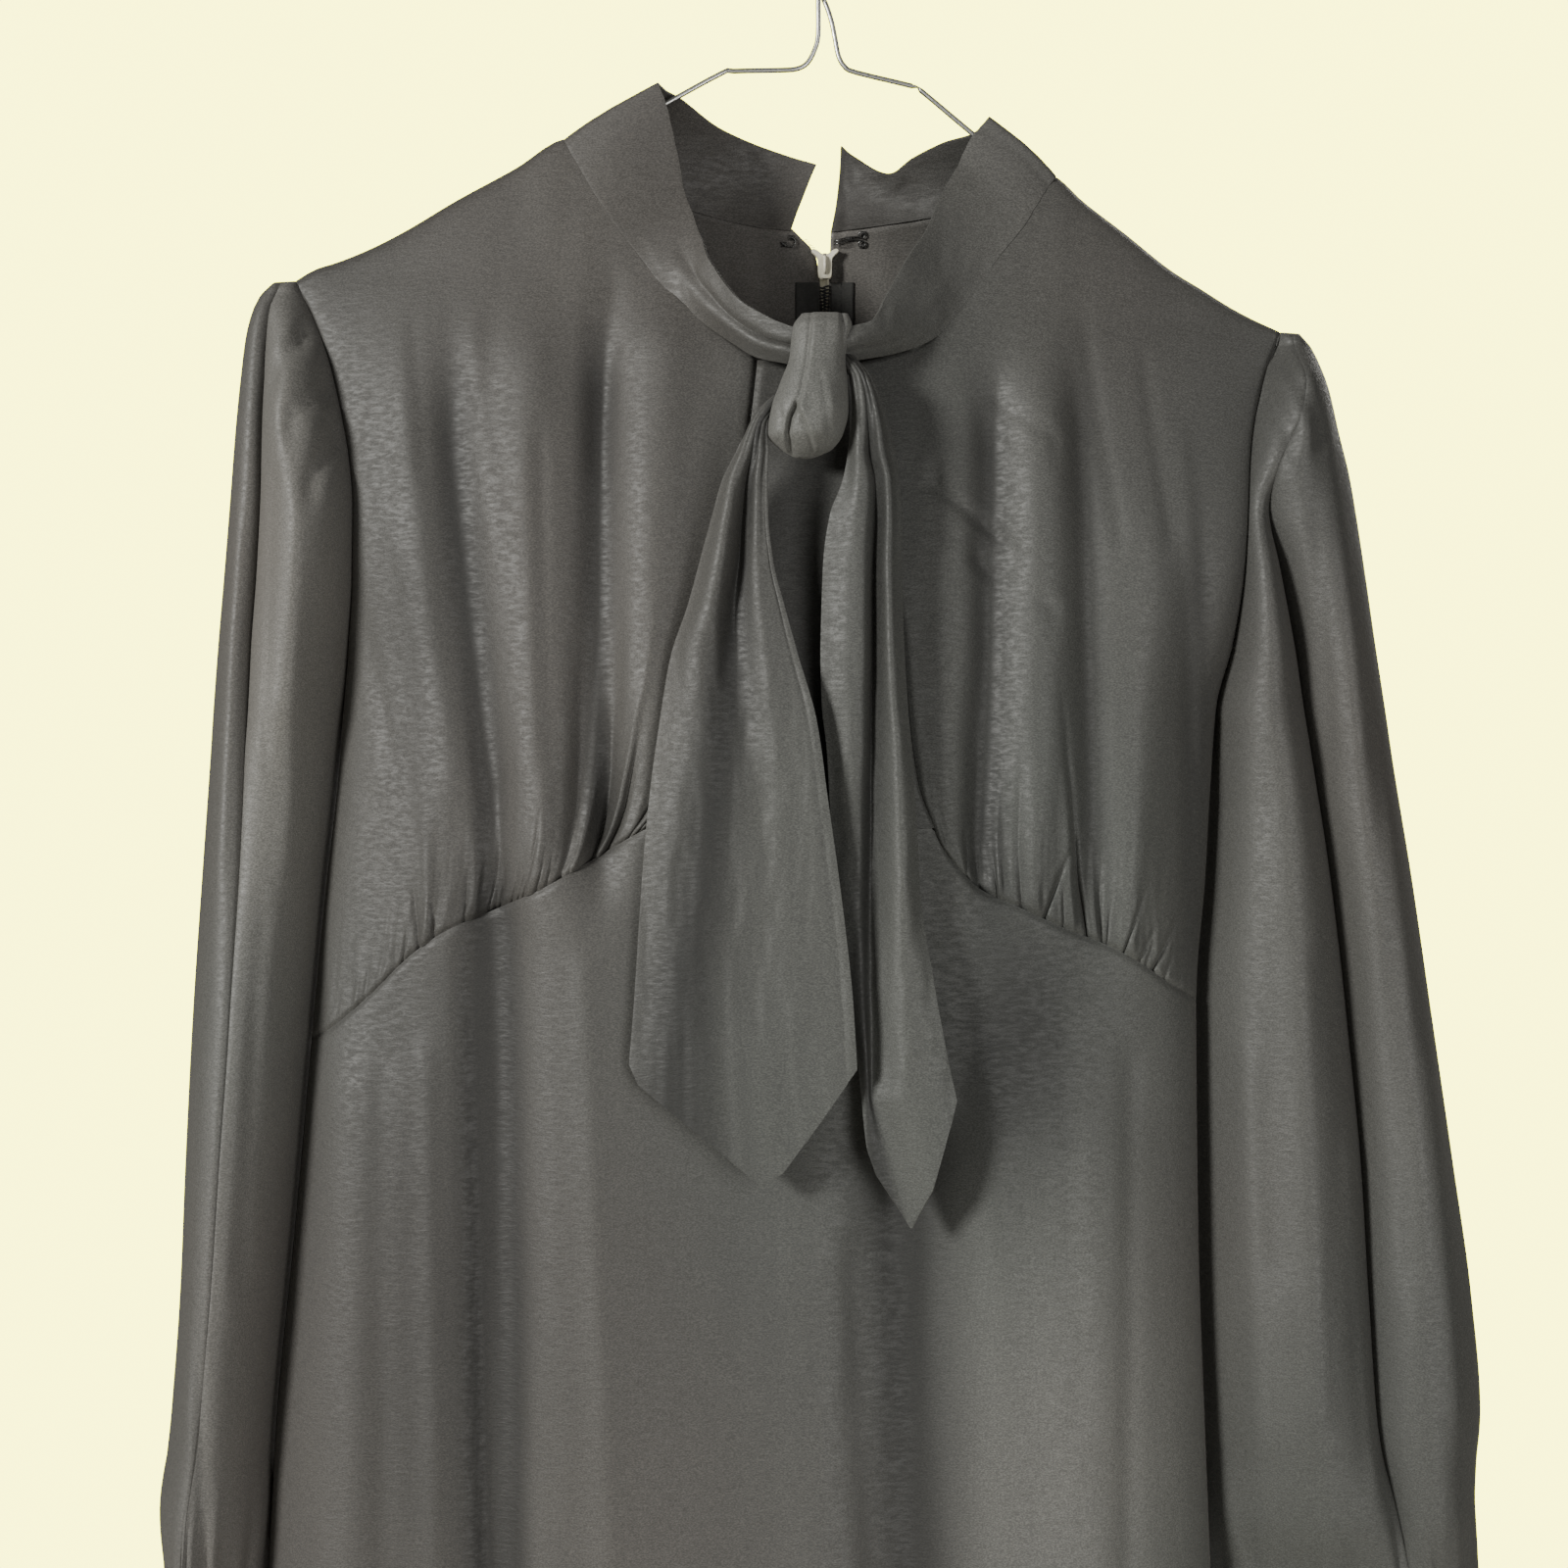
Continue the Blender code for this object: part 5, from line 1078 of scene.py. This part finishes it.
for side in ("left", "right"):
    place, columns = collar_place(side)
    band = cloth(f"neck_band_{side}", columns, 26, place, 1.6, band_crepe, tone=band_painted_light(side))
    turned_edge(band, 0.65)
    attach(band, "dress")
    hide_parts(f"collar_{side}")
    length, area = {"left": (0.24, 0.0081), "right": (0.21, 0.0067)}[side]


# The knot: the two bands are tied once, and the wrapping strand is pulled narrow at its top
# and spreads below in soft pleats.
KNOT = Table("z left right middle_y half_depth crease", [
    (-304.8, -13.4, -6.1, -51.0, 3.0, 0.0), (-301.5, -19.5, 1.5, -52.5, 8.0, 1.0),
    (-295.5, -25.0, 6.0, -54.5, 12.5, 2.0), (-285.4, -23.6, 8.2, -55.5, 13.5, 2.0),
    (-273.8, -19.6, 7.8, -54.5, 12.0, 1.6), (-263.7, -16.0, 7.0, -53.5, 10.0, 1.4),
    (-255.6, -15.2, 8.6, -53.0, 9.0, 1.2), (-250.4, -14.4, 9.8, -52.5, 8.0, 0.8),
    (-245.6, -11.0, 8.2, -52.0, 4.0, 0.0),
])
# Creases between the strands of the knot, from the top down: (x, z) points, how deep the crease
# is, its half width, and how much further out the cloth to its right lies.
KNOT_CREASES = [
    ([(-6.7, -244), (-7.7, -256), (-9.0, -268), (-11.0, -279), (-13.5, -290)], 1.2, 0.9, 1.5, 3.0),
    ([(5.0, -244), (6.0, -256), (6.6, -266), (7.6, -276)], 0.8, 0.8, -2.4, 2.5),
    ([(-13.4, -285), (-15.6, -290), (-16.8, -296), (-16.0, -301), (-14.5, -307)], 3.2, 1.0, -1.0, 3.5),
    ([(-13.2, -285), (-10.4, -292), (-7.4, -299), (-4.2, -307)], 1.6, 0.8, 2.4, 4.5),
    ([(-21.0, -281), (-19.0, -290), (-19.6, -298), (-21.0, -304)], 0.8, 1.1, 0.4, 2.5),
    ([(-3.0, -272), (-1.0, -284), (0.6, -294), (0.4, -302)], 0.5, 1.8, 0.3, 4.0),
    ([(-14.0, -262), (-16.6, -272), (-19.4, -281)], 0.6, 1.2, 0.3, 3.0),
]


def crease_depth(x, z):
    """How far the creases of the knot set its front back at a place seen from the front."""
    back = 0.0
    for points, depth, half_width, step, reach in KNOT_CREASES:
        top, bottom = points[0][1], points[-1][1]
        if not bottom - 3 < z < top + 3:
            continue
        for (ax, az), (bx, bz) in zip(points, points[1:]):
            if z >= bz:
                break
        t = min(max((az - z) / (az - bz), 0), 1)
        away = x - lerp(ax, bx, t)
        ends = min((top - z + 3) / 6, 1) * min((z - bottom + 3) / 5, 1)
        back += ends * 1.3 * depth * math.exp(-((away / half_width) ** 2))
        back -= ends * step * 0.65 * (1 + math.tanh(away / 0.7)) * math.exp(-max(away, 0) / reach)
    return back


def knot_place(u, v):
    z = lerp(KNOT.keys[0], KNOT.keys[-1], v)
    left, right = KNOT("left", z), KNOT("right", z)
    turn = 2 * math.pi * u
    across = math.cos(turn)
    x = (left + right) / 2 + (right - left) / 2 * across
    front = max(-math.sin(turn), 0) ** 0.5
    depth = KNOT("half_depth", z) + 0.7 * noise.noise(Vector((x / 6, z / 12, 2)))
    depth -= front * crease_depth(x, z)
    belly = 1.8 * math.exp(-(((z + 288) / 11) ** 2)) * math.exp(-(((x - 0.5) / 6) ** 2))
    return Vector((x, KNOT("middle_y", z) + (depth + front * belly) * math.sin(turn), z))


# The whole knot is painted lighter: painted light, as where the light falls on it.
KNOT_PAINTED_LIGHT = 1.9
bm = bmesh.new()
toned = bm.verts.layers.float.new("tone")
made = bmesh.ops.create_grid(bm, x_segments=150, y_segments=110, size=0.5)
for vert in made["verts"]:
    vert.co = knot_place(vert.co.x + 0.5, vert.co.y + 0.5) * MM
    vert[toned] = KNOT_PAINTED_LIGHT
bmesh.ops.remove_doubles(bm, verts=bm.verts, dist=WELD_DISTANCE)
bmesh.ops.holes_fill(bm, edges=[e for e in bm.edges if e.is_boundary], sides=0)
bmesh.ops.recalc_face_normals(bm, faces=bm.faces)
knot_mesh = bpy.data.meshes.new("knot_wrap")
bm.to_mesh(knot_mesh)
bm.free()
knot_mesh.shade_smooth()
knot_mesh.materials.append(band_crepe)
knot = bpy.data.objects.new("knot_wrap", knot_mesh)
bpy.context.scene.collection.objects.link(knot)
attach(knot, "dress")
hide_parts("knot")


# The tie ends: the same doubled strips, pressed flat, with a seam along one edge. They hang
# free from the knot in a few upright pleats and end in slanted points.
TIE_LEFT = Table("z x0 y0 x1 y1 x2 y2 x3 y3 x4 y4", [
    (-280.0, -22.5, -54.0, -21.2, -54.5, -19.8, -55, -18.2, -54.5, -16.6, -54),
    (-286.0, -28.8, -55.0, -27.2, -56.5, -25.4, -57, -23.6, -56, -21.6, -55),
    (-291.0, -31.8, -55.5, -30.2, -57, -28.5, -57.4, -26.8, -57, -24.9, -56),
    (-296.0, -34.4, -55, -32.2, -57.5, -29.9, -58, -27.6, -57.5, -25.4, -56),
    (-303.0, -37.6, -54, -34.4, -58.5, -31.2, -57, -27.9, -58.5, -24.8, -57),
    (-315.0, -43.5, -53, -38.6, -59, -33.8, -54, -29.4, -58.5, -25.2, -57),
    (-328.0, -47.1, -52, -41.0, -60, -35.2, -52, -29.8, -58, -25.0, -57),
    (-347.0, -52.3, -52, -44.0, -61, -36.6, -52, -30.0, -58, -23.0, -57),
    (-366.0, -57.5, -52, -48.0, -61, -38.3, -53, -28.5, -59, -18.2, -58),
    (-386.0, -64.3, -52, -51.5, -61, -38.0, -54, -26.0, -60, -12.6, -59),
    (-411.0, -68.7, -52, -53.0, -60, -36.5, -56, -22.0, -61, -5.4, -61),
    (-446.0, -73.5, -52, -55.0, -59, -36.0, -58, -19.0, -61, -0.2, -62),
    (-487.0, -77.1, -52, -56.5, -58, -35.8, -59, -15.5, -61, 5.5, -62),
    (-527.0, -79.6, -52, -57.2, -58, -34.8, -59, -12.5, -61, 9.9, -62),
    (-553.0, -81.6, -53, -58.3, -58, -35.0, -60, -11.8, -61, 11.5, -62),
])
TIE_RIGHT = Table("z x0 y0 x1 y1 x2 y2 x3 y3 x4 y4", [
    (-261.5, 2.2, -49.0, 4.2, -49.5, 6.2, -49.5, 7.8, -49, 9.2, -48),
    (-267.5, 6.6, -53.5, 8.8, -55, 11.0, -55.5, 12.4, -54.5, 13.6, -53),
    (-272.0, 8.9, -55, 11.2, -57, 13.6, -57.5, 15.3, -57, 17.0, -55.5),
    (-284.0, 9.2, -55, 12.8, -58.5, 16.0, -58, 18.9, -59, 22.0, -55),
    (-294.5, 9.2, -53, 13.0, -58.5, 16.6, -56, 20.6, -60, 25.0, -55),
    (-302.3, 8.6, -52, 12.8, -59, 16.8, -54.5, 21.4, -60, 26.7, -55),
    (-315.0, 6.0, -52, 13.8, -58, 19.2, -54, 24.0, -60, 28.7, -55.5),
    (-328.0, 1.0, -52, 13.6, -58, 19.4, -52.5, 24.4, -60, 29.6, -55.5),
    (-347.0, -1.8, -52, 13.2, -57, 18.8, -50.5, 24.0, -59.5, 29.9, -55),
    (-366.0, -2.6, -52, 13.0, -57, 18.6, -49.5, 24.4, -60, 30.0, -55),
    (-386.0, -3.0, -52, 13.0, -57, 18.6, -49.5, 25.0, -60, 30.8, -55),
    (-405.0, -2.6, -52, 12.8, -56, 18.4, -49, 26.0, -60, 32.0, -55),
    (-424.0, -0.6, -52, 12.8, -55, 18.4, -49, 27.5, -60, 33.5, -55),
    (-451.0, 1.0, -51, 12.0, -54, 18.6, -49, 28.5, -60, 35.5, -55),
    (-487.0, 3.5, -51, 12.0, -53, 18.6, -49, 29.5, -60, 37.6, -55),
    (-519.0, 7.5, -51, 13.0, -53, 18.6, -50, 30.5, -60, 42.8, -56),
    (-554.0, 12.6, -52, 15.5, -54, 18.8, -51, 33.0, -60, 49.2, -57),
    (-568.0, 14.0, -53, 16.0, -54, 19.5, -53, 35.0, -60, 52.4, -58),
])
TIE_POINTS = {"left": [(-81.6, -554.5), (-78.0, -562.5), (-26.6, -603.8), (-18.6, -597.8),
                       (-3.4, -577.3), (11.5, -555.5)],
              "right": [(14.0, -569.5), (16.2, -590.0), (19.5, -599.5), (34.3, -622.0),
                        (42.8, -605.0), (52.4, -569.0)]}


def tie_place(side):
    table = {"left": TIE_LEFT, "right": TIE_RIGHT}[side]
    top_z, low_z = table.keys[-1], table.keys[0]
    end_line = [(x, 0, z) for x, z in TIE_POINTS[side]]

    def level(u, z):
        folds = [Vector((table(f"x{k}", z), table(f"y{k}", z), z)) for k in range(5)]
        at = u * 4
        i = min(int(at), 3)
        t = at - i
        a, b = folds[i], folds[i + 1]
        before = folds[i - 1] if i else a * 2 - b
        after = folds[i + 2] if i < 3 else b * 2 - a
        spot = 0.5 * (2 * a + (b - before) * t + (2 * before - 5 * a + 4 * b - after) * t * t
                      + (3 * a - before - 3 * b + after) * t ** 3)
        fine = math.sin(u * 31 + 0.6 * math.sin(z / 40)) * 0.45 * math.exp((z - top_z) / 90)
        soft = 0.8 * noise.noise(Vector((spot.x / 10, z / 45, 23 if side == "left" else 31)))
        soft += 0.3 * noise.noise(Vector((spot.x / 4, z / 14, 41)))
        stitched = math.exp(-(((u - 0.95) / 0.013) ** 2)) * (side == "left")
        spot.y += fine + soft + 0.5 * stitched
        return spot

    def place(u, v):
        if v < 0.16:
            high = level(u, low_z)
            end = along(end_line, u)
            t = 1 - v / 0.16
            return Vector((lerp(high.x, end.x, t), high.y, lerp(high.z, end.z, t)))
        return level(u, lerp(low_z, top_z, (v - 0.16) / 0.84))

    return place


def tie_painted_light_and_shade(side):
    """Painted shade along the long pleat, which runs from the middle of a tie to its left edge, and a
    little painted light on the rest.
    """
    top_z, high, low, amount = {"left": (-311, 0.60, 0.22, 1.4), "right": (-330, 0.62, 0.27, 1.3)}[side]

    def tone(u, v, spot):
        middle = lerp(high, low, min(max((top_z - spot.z) / 215, 0), 1))
        return 0.15 - amount * math.exp(-(((u - middle) / 0.2) ** 2))

    return tone


for side in ("left", "right"):
    end = cloth(f"tie_{side}_end", 92, 150, tie_place(side), 1.5, band_crepe, facing=(0, -1, 0),
                tone=tie_painted_light_and_shade(side))
    turned_edge(end, 0.6)
    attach(end, "dress")
    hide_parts(f"tie_{side}")
    flat, area = {"left": ((0.10, 0.31), 0.0198), "right": ((0.068, 0.35), 0.0138)}[side]


# The zip: two woven tapes sewn inside the centre back, with two nylon coils that are shut below
# the slider. The coils' teeth are round loops that lock between each other.
def behind(x, z, depth):
    """A place inside the back cloth, this far in front of its middle."""
    return Vector((x, body_y("back", x, z) - depth, z))


def woven_tape():
    """Black tape with fine slanting ribs, dull."""
    finish = bpy.data.materials.new("black_tape")
    finish.use_nodes = True
    tree = finish.node_tree
    shader = tree.nodes["Principled BSDF"]
    wave = node(tree, "ShaderNodeTexWave", wave_type="BANDS", bands_direction="DIAGONAL")
    wave.inputs["Scale"].default_value = 900
    wave.inputs["Distortion"].default_value = 1.5
    nap = node(tree, "ShaderNodeTexNoise")
    nap.inputs["Scale"].default_value = 700
    link_up(tree, (stretched(tree, (1, 1, 1)), wave.inputs["Vector"]),
            (stretched(tree, (1, 1, 2)), nap.inputs["Vector"]))
    colour = ramp(tree, nap.outputs["Fac"], [(0.35, (0.040, 0.040, 0.038)), (0.7, (0.056, 0.055, 0.052))])
    bump = node(tree, "ShaderNodeBump")
    bump.inputs["Strength"].default_value = 0.6
    bump.inputs["Distance"].default_value = 0.0002
    link_up(tree, (colour, shader.inputs["Base Color"]), (wave.outputs["Fac"], bump.inputs["Height"]),
            (bump.outputs["Normal"], shader.inputs["Normal"]))
    shader.inputs["Roughness"].default_value = 0.85
    return finish


def nylon(name, colour):
    """Plain dark nylon, faintly scuffed."""
    finish = metal(name, colour, tuple(2.2 * c for c in colour), 0.42, 1500)
    finish.node_tree.nodes["Principled BSDF"].inputs["Specular IOR Level"].default_value = 0.6
    return finish


tape_black = woven_tape()
coil_black = nylon("coil_nylon", (0.014, 0.014, 0.015))
ZIP_FOOT_Z = -690.0
ZIP_HEAD_Z = -214.5


def tape_place(side):
    def place(u, v):
        x = SIGN[side] * lerp(2.6, 13.0, u)
        spot = behind(x, lerp(ZIP_FOOT_Z, ZIP_HEAD_Z, v), 0.85)
        spot.y -= 0.25 * math.exp(-(((u - 0.45) / 0.04) ** 2))
        return spot

    return place


def joined(name, meshes_from, finish):
    """One smooth mesh filled by a function that adds its shapes to a bmesh."""
    bm = bmesh.new()
    meshes_from(bm)
    bmesh.ops.recalc_face_normals(bm, faces=bm.faces)
    mesh = bpy.data.meshes.new(name)
    bm.to_mesh(mesh)
    bm.free()
    mesh.shade_smooth()
    mesh.materials.append(finish)
    made = bpy.data.objects.new(name, mesh)
    bpy.context.scene.collection.objects.link(made)
    return made


def tube(bm, points, radius, sides=6, steps=1, closed=False):
    """Adds a tube of round section along a smooth line of points, in millimetres."""
    line = points if closed else spline(points, steps)
    rings = []
    count = len(line)
    normal = None
    for i, here in enumerate(line):
        before = line[(i - 1) % count] if closed or i else here
        after = line[(i + 1) % count] if closed or i < count - 1 else here
        ahead = (Vector(after) - Vector(before)).normalized()
        if normal is None:
            normal = ahead.orthogonal().normalized()
        normal = (normal - ahead * normal.dot(ahead)).normalized()
        other = ahead.cross(normal)
        ring = []
        for k in range(sides):
            turn = 2 * math.pi * k / sides
            spot = Vector(here) + (normal * math.cos(turn) + other * math.sin(turn)) * radius
            ring.append(bm.verts.new(spot * MM))
        rings.append(ring)
    pairs = list(zip(rings, rings[1:])) + ([(rings[-1], rings[0])] if closed else [])
    for low, high in pairs:
        edges = []
        for loop in (low, high):
            for a, b in zip(loop, loop[1:] + loop[:1]):
                edges.append(bm.edges.get((a, b)) or bm.edges.new((a, b)))
        bmesh.ops.bridge_loops(bm, edges=edges)
    if not closed:
        bmesh.ops.contextual_create(bm, geom=rings[0])
        bmesh.ops.contextual_create(bm, geom=rings[-1])


PITCH = 1.55


def coil_teeth(bm):
    count = int((ZIP_HEAD_Z - ZIP_FOOT_Z) / PITCH)
    for k in range(count):
        z = ZIP_FOOT_Z + PITCH * k
        for sign, lift in ((-1, 0.0), (1, PITCH / 2)):
            middle = behind(sign * 0.75, z + lift, 1.9)
            loop = [middle + Vector((1.35 * math.cos(a), 0.75 * math.sin(a), 0.3 * math.cos(a) * sign))
                    for a in (2 * math.pi * i / 8 for i in range(8))]
            tube(bm, loop, 0.33, sides=4, closed=True)


for side in ("left", "right"):
    tape = cloth(f"tape_{side}", 10, 60, tape_place(side), 0.5, tape_black)
    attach(tape, "dress")
    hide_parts(f"zip_tape_{side}")
coil = joined("zip_coil", coil_teeth, coil_black)
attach(coil, "dress")
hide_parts("zip_chain")


# The slider: metal with slightly uneven cream enamel. Its crown spreads in two wings, and a low
# bridge spans its inner plate. An eye on its outer side holds the pull tab, a plate with two arms.
def enamel():
    """Cream enamel under a thin clear coat."""
    finish = metal("cream_enamel", (0.60, 0.56, 0.42), (0.80, 0.77, 0.64), 0.36, 420)
    finish.node_tree.nodes["Principled BSDF"].inputs["Coat Weight"].default_value = 0.3
    return finish


cream = enamel()


def rounded_box(bm, low, high, edge):
    """Adds a box with rounded edges between two corners, in millimetres."""
    made = bmesh.ops.create_cube(bm, size=1)
    for vert in made["verts"]:
        share = [c + 0.5 for c in vert.co]
        vert.co = Vector([lerp(a, b, t) for a, b, t in zip(low, high, share)]) * MM
    edges = list({e for v in made["verts"] for e in v.link_edges})
    bmesh.ops.bevel(bm, geom=edges, offset=edge * MM, segments=3, profile=0.5, affect="EDGES")


SLIDER_Z = -207.0
HINGE_Y = 41.0
HALF_WALL = 0.6
SLIDER_GAP = 1.6
slider_back = body_y("back", 0.0, SLIDER_Z) - HALF_WALL - SLIDER_GAP


def slider_shape(bm):
    plate = slider_back - 3.4
    outline = [(-1.9, -6.5), (1.9, -6.5), (2.9, -5.2), (3.1, -1.0), (3.2, 2.2), (4.4, 3.9), (6.0, 5.6),
               (5.2, 6.5), (3.4, 5.9), (1.7, 4.6), (0.0, 4.1), (-1.7, 4.6), (-3.4, 5.9), (-5.2, 6.5),
               (-6.0, 5.6), (-4.4, 3.9), (-3.2, 2.2), (-3.1, -1.0), (-2.9, -5.2)]
    line = spline(outline + outline[:1], 4)[:-1]
    for y, thick in ((plate, 0.9), (slider_back - 0.9, 0.9)):
        face = [bm.verts.new(Vector((p.x, y, SLIDER_Z + p.y)) * MM) for p in line]
        made = bmesh.ops.contextual_create(bm, geom=face)
        solid = bmesh.ops.extrude_face_region(bm, geom=made["faces"])
        moved = [g for g in solid["geom"] if isinstance(g, bmesh.types.BMVert)]
        bmesh.ops.translate(bm, verts=moved, vec=(0, thick * MM, 0))
    rounded_box(bm, (-0.9, plate, SLIDER_Z + 0.4), (0.9, slider_back, SLIDER_Z + 4.6), 0.3)
    bridge = [(0, plate + y, SLIDER_Z + z) for y, z in
              ((0.6, 3.2), (-1.0, 2.6), (-1.5, 0.6), (-1.5, -1.8), (-0.9, -3.8), (0.6, -4.4))]
    tube(bm, bridge, 0.75, sides=8, steps=4)
    eye = [(0, HINGE_Y + 1.5 * math.cos(a), SLIDER_Z + 1.5 * math.sin(a))
           for a in (2 * math.pi * i / 16 for i in range(16))]
    tube(bm, eye, 0.62, sides=8, closed=True)
    stem = [(0, slider_back - 0.6, SLIDER_Z), (0, (slider_back + HINGE_Y) / 2, SLIDER_Z),
            (0, HINGE_Y - 1.6, SLIDER_Z)]
    tube(bm, stem, 0.85, sides=10, steps=3)


def pull_shape(bm):
    tube(bm, [(x, HINGE_Y, SLIDER_Z) for x in (-1.9, 0, 1.9)], 0.42, sides=8, steps=2)
    for sign in (-1, 1):
        rounded_box(bm, (min(sign * 1.4, sign * 2.4), HINGE_Y - 0.5, SLIDER_Z - 4.6),
                    (max(sign * 1.4, sign * 2.4), HINGE_Y + 0.5, SLIDER_Z + 0.6), 0.22)
    rounded_box(bm, (-3.0, HINGE_Y - 0.5, SLIDER_Z - 20.9), (3.0, HINGE_Y + 0.5, SLIDER_Z - 3.9), 0.3)


slider = joined("zip_slider_enamel", slider_shape, cream)
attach(slider, "dress")
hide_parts("zip_slider")
pull = joined("zip_pull_enamel", pull_shape, cream)
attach(pull, "zip_pull")
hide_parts("zip_pull")
for piece in (slider, pull):
    piece.data.set_sharp_from_angle(angle=math.radians(38))


# The hook and eye above the zip: two bent blackened wires, whipped on with a few turns of thread
# on each of their feet.
WIRE_GAP = 0.7
EYE_RADIUS = 0.35


def inside(x, z, out=0.0):
    return behind(x, z, HALF_WALL + WIRE_GAP + EYE_RADIUS + out)


dark_wire = metal("blackened_wire", (0.06, 0.06, 0.06), (0.17, 0.17, 0.165), 0.3, 1300)
dark_wire.node_tree.nodes["Principled BSDF"].inputs["Metallic"].default_value = 1.0


HOOK_LINE = [(17.5, -196.8, 0.0), (15.6, -195.9, 0.0), (12.0, -195.7, 0.0), (8.5, -196.2, 0.0),
             (5.6, -196.9, 0.1), (4.4, -197.6, 0.9), (4.4, -197.9, 1.9), (5.6, -197.6, 2.7),
             (8.0, -197.0, 2.8)]


def hook_shape(bm):
    for shift in (-0.62, 0.62):
        tube(bm, [inside(x, z + shift, out) for x, z, out in HOOK_LINE], 0.3, sides=6, steps=3)
    for side_z in (-1.9, 1.9):
        ring = [inside(16.6 + 1.5 * math.cos(a), -196.2 + side_z + 1.3 * math.sin(a))
                for a in (2 * math.pi * i / 14 for i in range(14))]
        tube(bm, ring, 0.3, sides=6, closed=True)


def eye_shape(bm):
    tube(bm, [inside(-19.4, -197.2), inside(-17.4, -198.6), inside(-14.8, -199.0), inside(-13.2, -197.8),
              inside(-13.4, -195.9), inside(-15.4, -194.8)], EYE_RADIUS, sides=6, steps=4)


for name, shape in (("hook", hook_shape), ("eye", eye_shape)):
    piece = joined(f"{name}_wire", shape, dark_wire)
    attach(piece, "dress")
    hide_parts(name)

sewing_thread = nylon("black_thread", (0.016, 0.016, 0.016))
pale_thread = nylon("pale_thread", (0.42, 0.41, 0.38))


def whipping(bm):
    for x, z in ((16.6, -193.6), (16.6, -198.8), (10.6, -195.8), (-18.2, -197.9), (-15.2, -195.0)):
        for k in range(4):
            across = x - 0.9 + 0.6 * k
            turn = [inside(across, z - 1.0, -0.9), inside(across + 0.1, z - 0.5, 0.1),
                    inside(across + 0.2, z + 0.5, 0.1), inside(across + 0.3, z + 1.0, -0.9)]
            tube(bm, turn, 0.16, sides=4, steps=2)


def seam_stitches(bm):
    """A row of short stitches down each tape, each lying on the tape."""
    for side in ("left", "right"):
        for k in range(150):
            z = lerp(ZIP_FOOT_Z + 4, ZIP_HEAD_Z - 1, k / 149)
            ends = [behind(SIGN[side] * 7.2, z - 1.1, 1.2), behind(SIGN[side] * 7.2, z + 1.1, 1.2)]
            tube(bm, [ends[0], (ends[0] + ends[1]) / 2 - Vector((0, 0.12, 0)), ends[1]], 0.13, sides=4)


def loose_threads(bm):
    """Frayed pale threads on the open left edge, above and beside the slider."""
    for k in range(13):
        t = k / 12
        z = lerp(-196.0, -205.5, t)
        x = CENTRE_BACK["left"]("x", z) + 0.4
        reach = 1.4 + 1.3 * noise.noise(Vector((k * 2.1, 0, 0)))
        drop = 1.2 * noise.noise(Vector((k * 1.3, 5, 0)))
        start = behind(x, z, 0.9)
        bent = start + Vector((reach * 0.6, -0.8, drop))
        end = start + Vector((reach, -1.3, 1.8 * drop))
        tube(bm, [start, bent, end], 0.14, sides=4, steps=3)


for name, shape, finish in (("whipping", whipping, sewing_thread),
                            ("zip_stitches", seam_stitches, sewing_thread),
                            ("loose_threads", loose_threads, pale_thread)):
    piece = joined(name, shape, finish)
    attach(piece, "dress")
